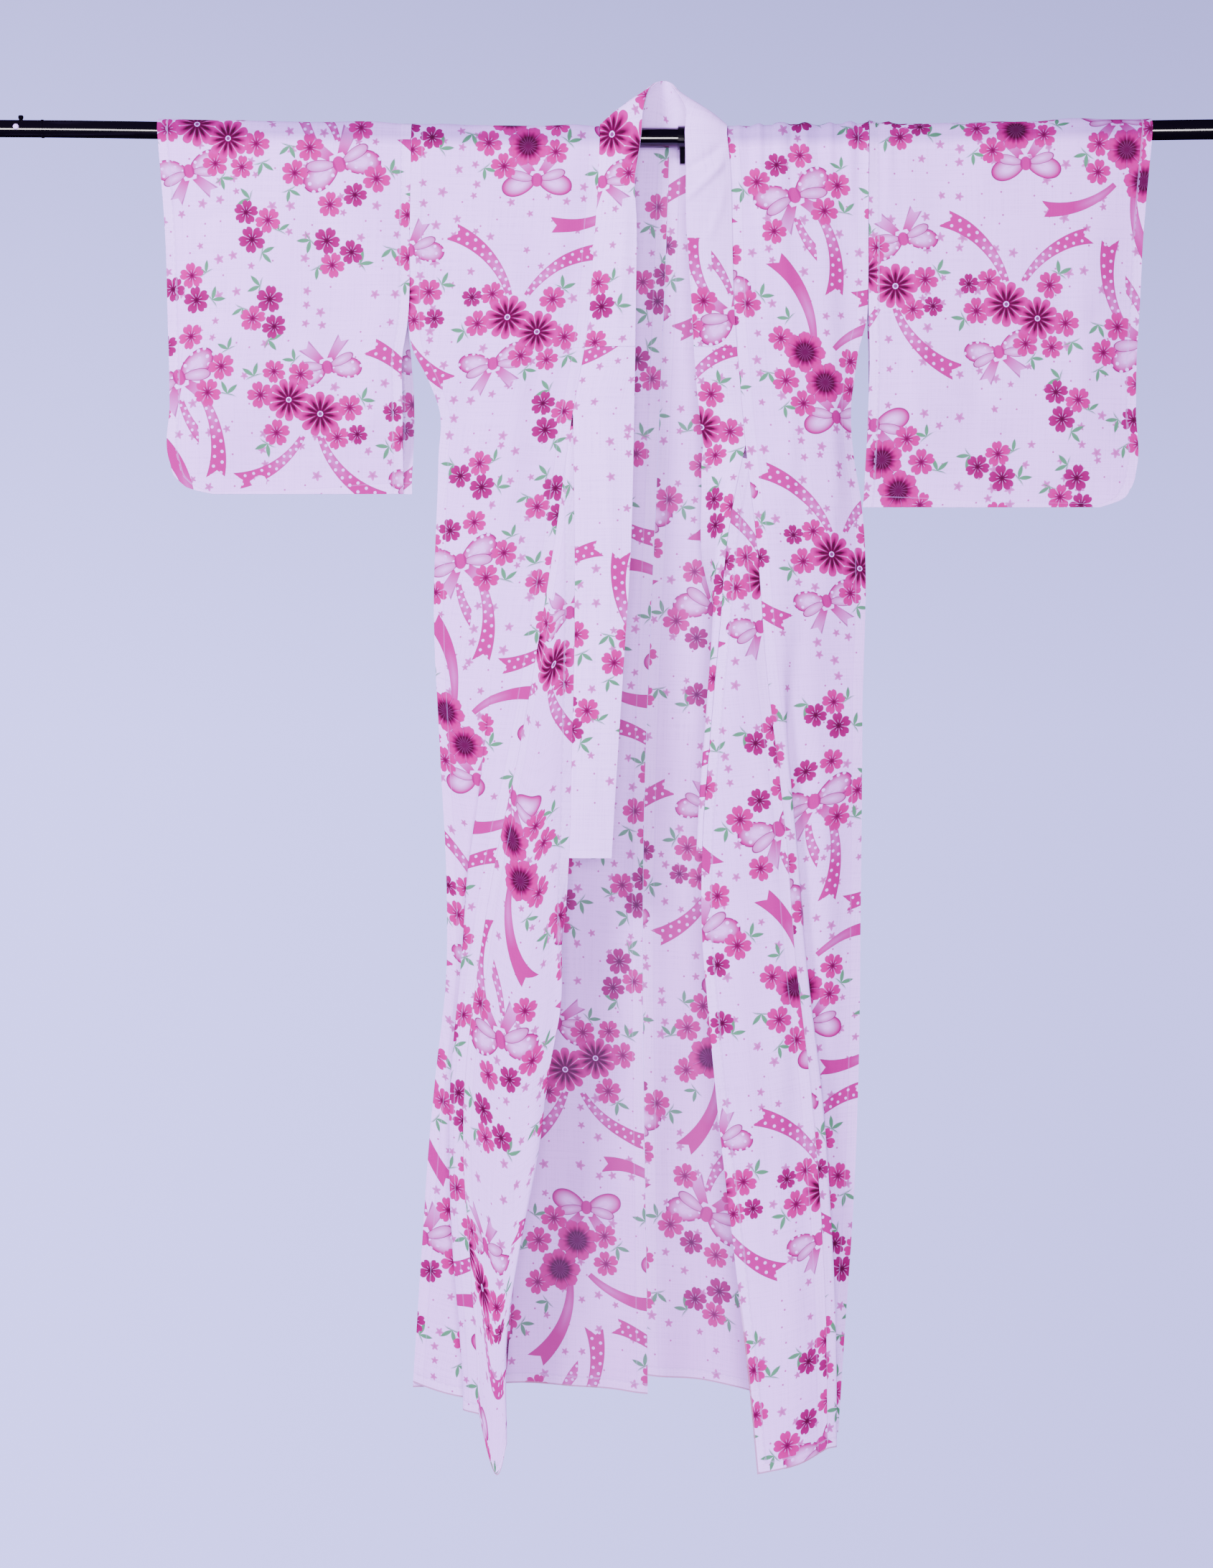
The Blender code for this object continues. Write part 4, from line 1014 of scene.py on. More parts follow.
# Groups of motifs: for each kind of motif, rows of x, y, degrees, scale (and hand).
PRINT_GROUPS = {
    "daisies": {
        "tails": ((-12, 30, 18, 1.0, 1), (10, 30, -30, 0.9, -1)),
        "bow": (-22, -58, 14, 1.12),
        "dotted": True,
        "leaves": ((56, 40, -30, 1.1), (-66, -16, 120, 1.1), (72, -46, 200, 1.1),
                   (20, -66, 230, 1.0)),
        "blossoms": ((-50, -6, 20, 1.05), (44, 26, 50, 1.05), (64, -22, 0, 1.05),
                     (-34, 32, 70, 0.95), (12, -48, 33, 1.0), (46, -52, 12, 0.9)),
        "deep": ((-60, 28, 20, 0.8),),
        "daisies": ((-12, 2, 8, 1.0), (28, -16, 25, 0.95)),
    },
    "cosmos": {
        "tails": ((20, -34, 200, 1.0, 1), (-8, -32, 156, 0.85, -1)),
        "bow": (-38, 50, 24, 1.15),
        "dotted": False,
        "leaves": ((-56, -10, 160, 1.1), (62, 28, 10, 1.1), (30, 62, 60, 1.0),
                   (58, -48, 250, 1.0)),
        "blossoms": ((-46, 8, 12, 1.0), (38, 30, 44, 1.05), (8, 50, 10, 1.05),
                     (-34, -26, 30, 1.0), (60, -20, 18, 1.0)),
        "cosmos": ((-10, 14, 0, 1.0), (26, -14, 17, 1.0)),
    },
    "bow": {
        "tails": ((14, -20, 190, 1.0, -1), (-12, -20, 168, 0.9, 1)),
        "bow": (0, 6, -8, 1.34),
        "dotted": True,
        "leaves": ((-54, 44, 100, 1.1), (46, -44, -40, 1.1), (72, 6, 0, 1.0)),
        "blossoms": ((-34, 44, 0, 1.1), (24, -30, 30, 1.1), (56, -10, 12, 1.05),
                     (-46, -22, 40, 1.0), (34, 46, 22, 1.0)),
        "deep": ((0, 50, 8, 0.95),),
    },
    "sprigs": {
        "leaves": ((26, 22, 10, 1.1), (-32, -18, 190, 1.1), (-8, 32, 90, 1.0)),
        "blossoms": ((-15, 14, 15, 1.0),),
        "deep": ((15, 4, 15, 1.05), (-14, -16, 50, 0.95)),
    },
}
# How far a motif of each kind reaches from its place.
MOTIF_REACH = {"daisies": 31.0, "cosmos": 30.0, "blossoms": 18.5, "deep": 18.5,
               "leaves": 19.0, "bow": 43.0, "tails": 15.0}


def reach_circles(group):
    """Rows of x, y, radius that cover a group; a tail is covered by four along its arc."""
    circles = []
    for kind, radius in MOTIF_REACH.items():
        if kind not in group:
            continue
        for row in [group[kind]] if kind == "bow" else group[kind]:
            x, y, degrees, scale = row[:4]
            if kind != "tails":
                circles.append((x, y, radius * scale))
                continue
            turn = math.radians(degrees)
            for angle in np.array((0.10, 0.37, 0.64, 0.90)) * TAIL_HALF * 2:
                sideways = TAIL_BEND * (math.cos(angle) - 1) * scale * row[4]
                ahead = TAIL_BEND * math.sin(angle) * scale
                circles.append((x + sideways * math.cos(turn) - ahead * math.sin(turn),
                                y + sideways * math.sin(turn) + ahead * math.cos(turn),
                                radius * scale))
    return np.array(circles)


def paint_group(g, name, look, base):
    """One group of motifs over the base colour, the lowest motif first."""
    group = PRINT_GROUPS[name]
    point = g.uv("Print")
    ways = (("tails", lambda rows: paint_tails(g, point, rows, look, group["dotted"])),
            ("bow", lambda row: paint_bow(g, point, row, look, group["dotted"])),
            ("leaves", lambda rows: paint_leaves(g, point, rows, look)),
            ("blossoms", lambda rows: paint_blossoms(g, point, rows, look.petal[:])),
            ("deep", lambda rows: paint_blossoms(g, point, rows, darker(look.petal, 0.45))),
            ("daisies", lambda rows: paint_daisies(g, point, rows, look)),
            ("cosmos", lambda rows: paint_cosmos(g, point, rows, look)))
    for kind, paint in ways:
        if kind in group:
            mask, colour = paint(group[kind])
            base = g.mix(mask, base, colour)
    return base


def paint_stars(g, cloth, look, base):
    """Small stars and dots strewn one to a cell: a star's edge is at 1 - 0.56 s."""
    cell = g.node("ShaderNodeTexVoronoi", {"voronoi_dimensions": "2D", "feature": "F1"},
                  {"Vector": cloth, "Scale": STAR_CELLS, "Randomness": 0.9}, "Position")
    chance, turn = g.parts(g.other(cell, "Color"))
    here = g.node("ShaderNodeVectorMath", {"operation": "SUBTRACT"}, {0: cloth, 1: cell})
    reach = g.length(here) / MM
    angle = g.turned(here) + turn * 6.0
    side = (angle * (5 / math.pi)).zigzag()
    size = STAR_RADIUS - turn * 2.6
    star = (size * (1.0 - side * 0.56) - reach).fade(EDGE_BLUR) * (chance < STAR_SHARE)
    dot = (DOT_RADIUS - reach).fade(EDGE_BLUR) * (chance < DOT_SHARE)
    shade = g.mix((reach / 5.0).clamped(), darker(look.ribbon, 0.12),
                  lighter(look.ribbon, 0.30))
    return g.mix(star.most(dot) * 0.85, base, shade)


# ------------------------------------------------------------------ materials
def cotton(name, look, kind, wrong_side=False):
    """Printed cotton: ground, threads, stars and one group of motifs.

    Threads are stretched noise along and across the grain; the ground is whiter where
    layers lie together, HEM_BAND in from a hem and SEAM_BAND from a seam; stitches run
    along the hems.  Random soft patches of painted shade lie over the ground.  Painted
    shade darkens one layer of cloth over the dark rod, where the rod would show through,
    and painted shade deepens the wrong side downwards.
    """
    made, g = new_look(name)
    cloth = g.uv("Cloth")
    warp, weft = (g.noise(g.stretched(cloth, *cells, 1), 1.0, 1.0, "2D")
                  for cells in (THREAD_CELLS, THREAD_CELLS[::-1]))
    broad = g.noise(cloth, PATCH_CELLS, dimensions="2D")
    across_m, along_m = g.parts(cloth)
    check = (across_m * CHECK_TURNS).zigzag() * (along_m * CHECK_TURNS).zigzag()
    threads = warp + weft - 1.0
    hem, seam, deep = (g.node("ShaderNodeAttribute", {"attribute_name": label}, {}, "Fac")
                       for label in ("hem", "seam", "layers"))
    band = (HEM_BAND - hem).fade(BAND_BLUR).most(
        (SEAM_BAND - seam).fade(BAND_BLUR) * 0.7).most(deep)
    ground = g.mix(band, look.ground[:], look.layered[:])
    # Random soft patches of painted shade, darker and more lilac, over the ground
    ground = g.mix(((broad - 0.42) * 2.4).clamped() * 0.5, ground, look.shade[:])
    shade = (threads * 0.8 + check * 0.08).clamped()
    ground = g.mix(shade, ground, darker(look.ground, 0.32))
    colour = ground if kind == "bare" else paint_stars(g, cloth, look, ground)
    if kind in PRINT_GROUPS:
        colour = paint_group(g, kind, look, colour)
    x_m, _ = g.parts(g.point())
    z_m = g.other(x_m, 2)
    if wrong_side:
        colour = g.mix(WRONG_SIDE_WEAK, colour, look.ground[:])
        # Painted shade: the wrong side is darkened more the lower it hangs
        low_shade = (WRONG_SIDE_FROM - z_m * WRONG_SIDE_RATE).clamped()
        colour = g.tint(low_shade, colour, WRONG_SIDE_SHADE)
    # Painted shade over the rod: one layer of cloth is darkened where the dark rod lies behind
    # it, broken up by the patches of painted shade
    axis = (1.0 - (x_m * (math.pi / ROD_HALF)).math("COSINE")) * (ROD_SAG / 2)
    rod_shade = (z_m - axis + ROD_SHADE_REACH[0]).fade(ROD_SHADE_REACH[1]) * (1.0 - deep)
    colour = g.tint((rod_shade * (0.55 + broad * 0.7)).clamped(), colour, ROD_SHADE_TINT)
    turned_in = hem.line(HEM_BAND, 0.0010, 0.0005).most(
        seam.line(SEAM_BAND, 0.0010, 0.0005) * 0.6)
    colour = g.mix(turned_in * 0.35, colour, darker(look.ground, 0.35))
    dashes = ((across_m + along_m) * STITCH_TURNS).zigzag() > 0.35
    stitch = hem.line(STITCH_LINE, 0.0006, 0.0003) * dashes
    colour = g.mix(stitch * 0.55, colour, darker(look.ground, 0.30))
    low = (LOW_HEMS - z_m).fade(0.1)
    colour = g.mix((HEM_WORN - hem).fade(0.0005) * low * 0.8, colour, HEM_EDGE)
    height = threads + check * 0.4 - stitch * 1.5 + band * 0.8
    g.finish({"Base Color": colour, "Roughness": 0.86 - threads * 0.08,
              "Normal": g.relief(look.weave, 0.0006, height),
              "Specular IOR Level": 0.05, "Sheen Weight": 0.02, "Sheen Roughness": 0.45})
    return made


def cotton_edge(look):
    """The cut or folded edge of the cotton: cream threads over the layered ground."""
    made, g = new_look("cotton_edge")
    fray = g.noise(g.point(), 900.0, 1.0)
    g.finish({"Base Color": g.mix(fray, look.layered[:], srgb(232, 224, 214)),
              "Roughness": 0.9 - fray * 0.1, "Normal": g.relief(0.3, 0.0003, fray),
              "Specular IOR Level": 0.2})
    return made


def cotton_looks(look):
    """Right sides, wrong sides and edge of the cotton, made once and shared."""
    kinds = ("plain",) + GROUP_ORDER + ("bare",)
    names = [f"cotton_{kind}{side}" for side in ("", "_wrong_side") for kind in kinds]
    if bpy.data.materials.get("cotton_edge"):
        return [bpy.data.materials[name] for name in names + ["cotton_edge"]]
    sides = [cotton(name, look, kind, name.endswith("_wrong_side"))
             for name, kind in zip(names, kinds * 2)]
    return sides + [cotton_edge(look)]


def rod_enamel(colour):
    """Gloss enamel: fine grain in its gloss, and faint scuffs drawn along the rod."""
    made, g = new_look("rod_enamel")
    place = g.point()
    grain = g.noise(place, 160.0, 3.0)
    wear = g.noise(g.stretched(place, 6, 140, 140), 1.0, 4.0)
    scuff = (wear - 0.62).fade(0.1)
    g.finish({"Base Color": g.mix(scuff * 0.25, colour, srgb(40, 40, 46)),
              "Roughness": 0.09 + grain * 0.05 + scuff * 0.1,
              "Normal": g.relief(0.02, 0.0004, grain), "Specular IOR Level": 0.5})
    return made


def clouded(name, first, second, cells, roughness):
    """A plain finish whose colour drifts softly between two colours."""
    made, g = new_look(name)
    g.finish({"Base Color": g.mix(g.noise(g.point(), cells), first, second),
              "Roughness": roughness})
    return made


# ------------------------------------------------------------ listed creases
# Rows: side (-1 front, 1 back), x and z of both ends, half width, height; millimetres.
# A positive height is a ridge and a negative one a trough.
NECK_CREASES = (
    (-1, -40, -60, -50, -260, 7, 1.8), (-1, 96, -8, 30, -52, 5, -3.6),
    (-1, 98, -22, 30, -92, 4, 4.2), (-1, 96, -50, 60, -150, 6, 1.8))
CREASES = {
    "body_left": (
        (-1, -180, -60, -215, -700, 16, 3.2), (-1, -235, -90, -262, -560, 14, -2.8),
        (-1, -120, -40, -150, -420, 12, 2.6), (-1, -262, -700, -240, -1500, 14, 3.6),
        (-1, -285, -140, -150, -210, 10, 2.0), (1, -60, -80, -90, -900, 18, -3.6),
        (1, -215, -60, -190, -760, 16, 3.2), (1, -110, -700, -130, -1560, 20, 4.0),
        (1, -240, -800, -255, -1560, 16, -3.2), (1, -150, -140, -40, -200, 9, 1.6)),
    "body_right": (
        (-1, 150, -40, 168, -520, 11, 2.8), (-1, 205, -40, 214, -640, 13, 3.0),
        (-1, 240, -60, 246, -900, 12, -2.4), (-1, 190, -640, 205, -1400, 14, 3.0),
        (-1, 120, -30, 128, -300, 9, -2.0), (1, 60, -80, 78, -980, 18, 3.4),
        (1, 128, -100, 112, -1500, 18, -3.8), (1, 210, -80, 196, -900, 16, 3.2),
        (1, 175, -760, 168, -1580, 18, 3.8), (1, 40, -180, 200, -120, 9, 1.6)),
    "okumi_left": (
        (-1, -160, -620, -215, -1500, 14, 2.8), (-1, -125, -560, -165, -1460, 12, -2.8),
        (-1, -150, -1100, -205, -1640, 12, 3.2), (-1, -190, -1500, -150, -1660, 11, -2.6)),
    "okumi_right": (
        (-1, 110, -560, 150, -1500, 14, 2.8), (-1, 130, -640, 190, -1600, 12, -2.8),
        (-1, 92, -1000, 122, -1650, 12, 2.6)),
    "sleeve_left": (
        (-1, -350, -40, -372, -400, 16, 2.4), (-1, -440, -30, -410, -420, 18, -2.2),
        (-1, -560, -60, -500, -420, 16, 2.4), (-1, -610, -230, -420, -330, 14, 1.8),
        (-1, -330, -330, -460, -440, 13, 2.0), (-1, -600, -120, -520, -90, 10, -1.6),
        (1, -380, -40, -400, -420, 16, 2.4), (1, -520, -50, -480, -400, 18, 2.2),
        (1, -590, -240, -430, -340, 14, -1.8)),
    "sleeve_right": (
        (-1, 330, -30, 322, -420, 16, 2.4), (-1, 420, -40, 400, -430, 18, -2.2),
        (-1, 520, -30, 545, -400, 16, 2.2), (-1, 300, -260, 450, -400, 13, 1.8),
        (-1, 600, -200, 480, -300, 13, -1.8), (1, 360, -40, 380, -430, 16, 2.4),
        (1, 480, -40, 500, -420, 18, 2.2), (1, 590, -220, 430, -340, 14, -1.8)),
    "collar": NECK_CREASES + (
        (-1, -72, -330, -60, -640, 8, 2.0), (-1, -80, -700, -70, -900, 8, -1.8)),
    "over_collar": NECK_CREASES,
}
# Waves of the broad undulation: turns along x and z in radians to a metre, phase, share.
RIPPLE_WAVES = ((47, 9, 0.7, 0.6), (-21, 13, 0.0, 0.8), (71, -17, 2.1, 0.35))
CREASE_ENDS = 0.3            # share of a crease's length within which it fades
CREASE_BOW = 0.03            # how far it bows, as a share of its length


def creased(grid, table, ripple, free):
    """The grid moved along its normals by creases and a broad undulation.

    A crease adds height * exp(-(d / half width)^2), faded over its ends, with d the
    distance in x, z from its line.  The undulation is a sum of three sine waves.
    free is 0 where the cloth is held at a seam and 1 where it can move.  A point that
    comes nearer to the rod's axis than REST_R is moved straight out to it.
    """
    normal = outward(grid)
    x, z = grid[..., 0], grid[..., 2]
    move = ripple * sum(np.sin(along_x * x + along_z * z + phase) * share
                        for along_x, along_z, phase, share in RIPPLE_WAVES)
    for side, x0, z0, x1, z1, half, height in np.array(table, float):
        ax, az, bx, bz = (value * MM for value in (x0, z0, x1, z1))
        length = math.hypot(bx - ax, bz - az)
        ux, uz = (bx - ax) / length, (bz - az) / length
        along = ((x - ax) * ux + (z - az) * uz) / length
        bow = CREASE_BOW * length * np.sin(math.pi * np.clip(along, 0, 1))
        off = (x - ax) * uz - (z - az) * ux + bow
        ends = ease(along / CREASE_ENDS) * ease((1 - along) / CREASE_ENDS)
        facing = ease(side * grid[..., 1] / (4 * MM))
        move = move + height * MM * np.exp(-(off / (half * MM)) ** 2) * ends * facing
    moved = grid + normal * (move * free)[..., None]
    rise = rod_height(moved[..., 0])
    reach = np.hypot(moved[..., 1], moved[..., 2] - rise)
    out = np.maximum(REST_R / reach, 1.0)
    moved[..., 1] *= out
    moved[..., 2] = rise + (moved[..., 2] - rise) * out
    return moved


# --------------------------------------------------------------- print on cloth
# One repeat of the cotton: group, x, y, degrees; metres from the repeat's corner.
REPEAT = (0.310, 0.390)
REPEAT_GROUPS = (
    ("daisies", 0.238, 0.376, 0), ("cosmos", 0.075, 0.164, 338), ("bow", 0.214, 0.055, 28),
    ("sprigs", 0.215, 0.168, 301), ("sprigs", 0.300, 0.248, 249))
GROUP_ORDER = ("daisies", "cosmos", "bow", "sprigs")
GROUP_REACH = 0.20           # further than any group reaches, in metres
PRINT_MARGIN = 5.0           # millimetres round a group's circles
# How far past a bare or starred stretch, in metres, no group is laid.
BARE_REACH, STARRED_REACH = 0.055, 0.030


def lay_print(corners, shift, gaps):
    """Group index (0 for none) of each face, and its corners in the group's own frame.

    corners are flat coordinates in metres, four to a face.  Every other repeat is turned
    by half a turn.  A face belongs to the group whose circles it is nearest to.  A group
    whose centre lies in one of the gaps along the cloth is left out.
    """
    flat = corners + np.array(shift)
    middle = flat.mean(axis=1)
    best = np.full(len(flat), PRINT_MARGIN)
    group_of = np.zeros(len(flat), int)
    local = np.zeros_like(flat)
    first = np.floor(middle.min(axis=0) / REPEAT).astype(int) - 1
    last = np.floor(middle.max(axis=0) / REPEAT).astype(int) + 1
    for column, row in np.ndindex(*(last - first + 1)):
        column, row = column + first[0], row + first[1]
        for name, x, y, degrees in REPEAT_GROUPS:
            if (column + row) % 2:
                x, y, degrees = REPEAT[0] - x, REPEAT[1] - y, degrees + 180
            centre = np.array((column * REPEAT[0] + x, row * REPEAT[1] + y))
            near = np.flatnonzero(np.abs(middle - centre).max(axis=1) < GROUP_REACH)
            place = centre[1] - shift[1]
            if not len(near) or any(low < place < high for low, high in gaps):
                continue
            angle = math.radians(-degrees)
            turn = np.array(((math.cos(angle), -math.sin(angle)),
                             (math.sin(angle), math.cos(angle))))
            inside = (flat[near] - centre) @ turn.T / MM
            spot = inside.mean(axis=1)[:, None]
            circles = reach_circles(PRINT_GROUPS[name])
            distance = np.hypot(*(spot - circles[:, :2]).T).T - circles[:, 2]
            distance = distance.min(axis=1)
            closer = distance < best[near]
            chosen = near[closer]
            best[chosen] = distance[closer]
            group_of[chosen] = GROUP_ORDER.index(name) + 1
            local[chosen] = inside[closer]
    return group_of, local


def edge_ways(grid):
    """Distance of each point from each edge: first and last column, bottom and top row."""
    over, down = run(grid, 1), run(grid, 0)
    return {"first": over, "last": over[:, -1:] - over,
            "bottom": down, "top": down[-1:] - down}


def nearest_edge(grid, edges):
    """Distance of each point from the nearest of the edges named, or 0.1 m."""
    ways = edge_ways(grid)
    return np.minimum.reduce([np.full(grid.shape[:2], 0.1)] + [ways[edge] for edge in edges])


def held_free(grid, edges, reach=SEAM_HELD):
    """0 at the edges named and 1 from the reach given inwards."""
    ways = edge_ways(grid)
    free = np.ones(grid.shape[:2])
    for edge in edges:
        free = free * ease(ways[edge] / reach)
    return free


def within(points, box):
    """Whether points lie in a box of low x, z and high x, z."""
    x, z = points[:, 0], points[:, 2]
    return (x > box[0]) & (z > box[1]) & (x < box[2]) & (z < box[3])


# ------------------------------------------------------------- meshes and pieces
def indices(points):
    """The number of each point of a grid, in the grid's own shape."""
    shape = points.shape[:2]
    return np.arange(shape[0] * shape[1]).reshape(shape)


def quads(near, far):
    """Faces between the columns near and far of a grid of indices, row by row."""
    return np.stack((near[:-1], far[:-1], far[1:], near[1:]), axis=-1).reshape(-1, 4)


def linked(name, data):
    """An object for a mesh, a light or a camera, linked to the scene."""
    made = bpy.data.objects.new(name, data)
    bpy.context.scene.collection.objects.link(made)
    return made


def ringed(name, rings, look, closed=True):
    """A mesh of rings of points, each joined to the next, with a face over the last ring.

    Where it is closed, another face covers the first ring.
    """
    index = indices(rings)
    faces = quads(index, np.roll(index, -1, axis=1)).tolist() + [index[-1].tolist()]
    if closed:
        faces.append(index[0, ::-1].tolist())
    mesh = bpy.data.meshes.new(name)
    mesh.from_pydata(rings.reshape(-1, 3).tolist(), [], faces)
    mesh.materials.append(look)
    return mesh


def mark(mesh, label, kind, domain, values):
    """A named value of each point or edge of a mesh."""
    mesh.attributes.new(label, kind, domain).data.foreach_set(
        "value", np.ascontiguousarray(values).reshape(-1))


def sew(name, grid, looks, wall, hems=(), seams=(), shift=(0, 0), across_from="first",
        deep=0.0, bare=(), starred=()):
    """A thin shell on a grid, with its flat coordinates, print frames and edge bands.

    Flat coordinates are arc lengths: across from the first or last column, and along
    that column from the grid's first row, so the print never shears between columns.
    looks holds the right sides, the wrong sides and the edge.  Boxes of low x, z and
    high x, z hold the faces left bare, and the rows that keep hardly more than stars.
    """
    index = indices(grid)
    faces = quads(index[:, :-1], index[:, 1:])
    over, down = run(grid, 1), run(grid, 0)
    if across_from == "last":
        over, down = over - over[:, -1:], down[:, -1:]
    else:
        down = down[:, :1]
    flat = np.stack(np.broadcast_arrays(over, down), axis=-1)
    gaps = []
    for boxes, reach in ((starred, STARRED_REACH), (bare, BARE_REACH)):
        for box in boxes:
            inside = flat[within(grid[:, 0], box), 0, 1]
            if len(inside):
                gaps.append((inside.min() - reach, inside.max() + reach))
    flat = flat.reshape(-1, 2)[faces]
    group_of, local = lay_print(flat, shift, gaps)
    points = grid.reshape(-1, 3)
    for box in bare:
        group_of[within(points[faces].mean(axis=1), box)] = len(GROUP_ORDER) + 1
    mesh = bpy.data.meshes.new(name)
    mesh.from_pydata(points.tolist(), [], faces.tolist())
    for label, values in (("Cloth", flat), ("Print", local)):
        mesh.uv_layers.new(name=label).data.foreach_set("uv", values.reshape(-1))
    for look in looks:
        mesh.materials.append(look)
    mesh.polygons.foreach_set("material_index", group_of.astype(np.int32))
    mesh.shade_smooth()
    layers = np.broadcast_to(deep, index.shape)
    for label, values in (("hem", nearest_edge(grid, hems)),
                          ("seam", nearest_edge(grid, seams)), ("layers", layers)):
        mark(mesh, label, "FLOAT", "POINT", values.astype(np.float32))
    border = np.ones(index.shape, bool)
    border[1:-1, 1:-1] = False
    ends = np.empty(len(mesh.edges) * 2, np.int32)
    mesh.edges.foreach_get("vertices", ends)
    mark(mesh, "sharp_edge", "BOOLEAN", "EDGE",
         border.reshape(-1)[ends.reshape(-1, 2)].all(axis=1))
    piece = linked(name, mesh)
    shell = piece.modifiers.new("wall", "SOLIDIFY")
    shell.thickness = wall
    shell.offset = 0
    shell.material_offset = len(looks) // 2
    shell.material_offset_rim = len(looks)
    return piece


def make_cloth(name, nodes, slot, grid, free, ripple, looks, wall, flat, rests_on,
               area=None, **sewing):
    """Crease a grid, sew it, fix it to the root and hide the imported solids it stands for."""
    grid = creased(grid, CREASES[name], ripple, free)
    piece = sew(f"{name}_cloth", grid, looks, wall, **sewing)
    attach(piece, "root")
    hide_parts(*nodes)


# ------------------------------------------------------------------ operators
class YUKATA_OT_body(bpy.types.Operator):
    """Sew both halves of the body cloth, each one strip from front hem to back hem."""
    bl_idname = "yukata.body"
    bl_label = "Body cloth"

    def execute(self, context):
        look = context.scene.yukata_cloth
        looks = cotton_looks(look)
        for side, columns, shift, seam_side, area in (
                ("left", 56, (0.02, 0.14), "last", 0.80),
                ("right", 66, (0.13, 0.02), "first", 0.76)):
            name = f"body_{side}"
            nodes = [f"{name}_{place}" for place in ("front", "over_rod", "back")]
            grid = body_strip(side, columns, look.grid_step)
            make_cloth(name, nodes, "printed_cotton", grid,
                       held_free(grid, ("first", "last")), look.ripple, looks,
                       look.thickness, (0.27, 3.34), ["rod_outer"], area,
                       hems=("bottom", "top"), seams=("first", "last"), shift=shift,
                       across_from=seam_side)
        return {"FINISHED"}


class YUKATA_OT_overlaps(bpy.types.Operator):
    """Sew the two long overlap panels that hang from the collar and the fronts."""
    bl_idname = "yukata.overlaps"
    bl_label = "Overlap panels"

    def execute(self, context):
        look = context.scene.yukata_cloth
        looks = cotton_looks(look)
        left = overlap_panel((SEAM_LEFT, OVERLAP_FOLD_LEFT, COLLAR_SEAM_LEFT),
                             (0, 0.55, 1), POINT_LEFT, HEM_OVERLAP_LEFT)
        right = overlap_panel((COLLAR_SEAM_RIGHT, OVERLAP_MIDDLE_RIGHT, SEAM_RIGHT),
                              (0, 0.5, 1), POINT_RIGHT, HEM_OVERLAP_RIGHT)
        for name, front, grid, shift, seam, free_edge in (
                ("okumi_left", "body_left_cloth", left, (0.05, 0.21), "first", "last"),
                ("okumi_right", "body_right_cloth", right, (0.22, 0.05), "last", "first")):
            make_cloth(name, [name], "printed_cotton", grid,
                       held_free(grid, ("first", "last", "top")), look.ripple, looks,
                       look.thickness, (0.13, 1.36), [front], 0.12,
                       hems=("bottom", free_edge), seams=(seam,), shift=shift,
                       across_from=seam)
        return {"FINISHED"}


class YUKATA_OT_sleeves(bpy.types.Operator):
    """Sew both sleeves, each a bag folded over the rod."""
    bl_idname = "yukata.sleeves"
    bl_label = "Sleeves"

    def execute(self, context):
        look = context.scene.yukata_cloth
        looks = cotton_looks(look)
        for name, table, shift, outer, inner, tube in (
                ("sleeve_left", SLEEVE_LEFT, (0.19, 0.30), "first", "last", "rod_inner"),
                ("sleeve_right", SLEEVE_RIGHT, (0.05, 0.12), "last", "first", "rod_outer")):
            grid = sleeve_bag(table, SLEEVE_COLUMNS, look.grid_step * SLEEVE_FINER)
            free = held_free(grid, ("bottom", "top"), SLEEVE_SEAM_HELD)
            free = free * held_free(grid, (outer,), SLEEVE_CUFF_HELD)
            make_cloth(name, [name], "printed_cotton", grid, free, look.ripple, looks,
                       look.thickness, (0.36, 1.02), [tube], hems=("first", "last"),
                       seams=("bottom", "top"), shift=shift, across_from=inner)
        return {"FINISHED"}


class YUKATA_OT_collar(bpy.types.Operator):
    """Sew the long collar and the shorter over-collar that covers it at the neck."""
    bl_idname = "yukata.collar"
    bl_label = "Collar and over-collar"

    def execute(self, context):
        look = context.scene.yukata_cloth
        looks = cotton_looks(look)
        right = looks[:len(looks) // 2]
        both = right + right + looks[-1:]
        under = collar_band()
        over = collar_band(CLOTH + SEAM_GAP, OVER_COLLAR_END)
        for name, grid, wall, shift, flat, bare, starred in (
                ("collar", under, look.collar_thickness, (0.30, 0.07), (0.058, 1.96),
                 (BARE_LAPEL, BARE_COLLAR_END), (STARRED_COLLAR,)),
                ("over_collar", over, look.thickness, (0.21, 0.106), (0.058, 0.66),
                 (BARE_LAPEL,), ())):
            make_cloth(name, [name], "collar_cotton", grid,
                       held_free(grid, ("first",), COLLAR_HELD), 0.0, both, wall, flat,
                       ["rod_outer"], shift=shift, deep=1.0, bare=bare, starred=starred)
        return {"FINISHED"}


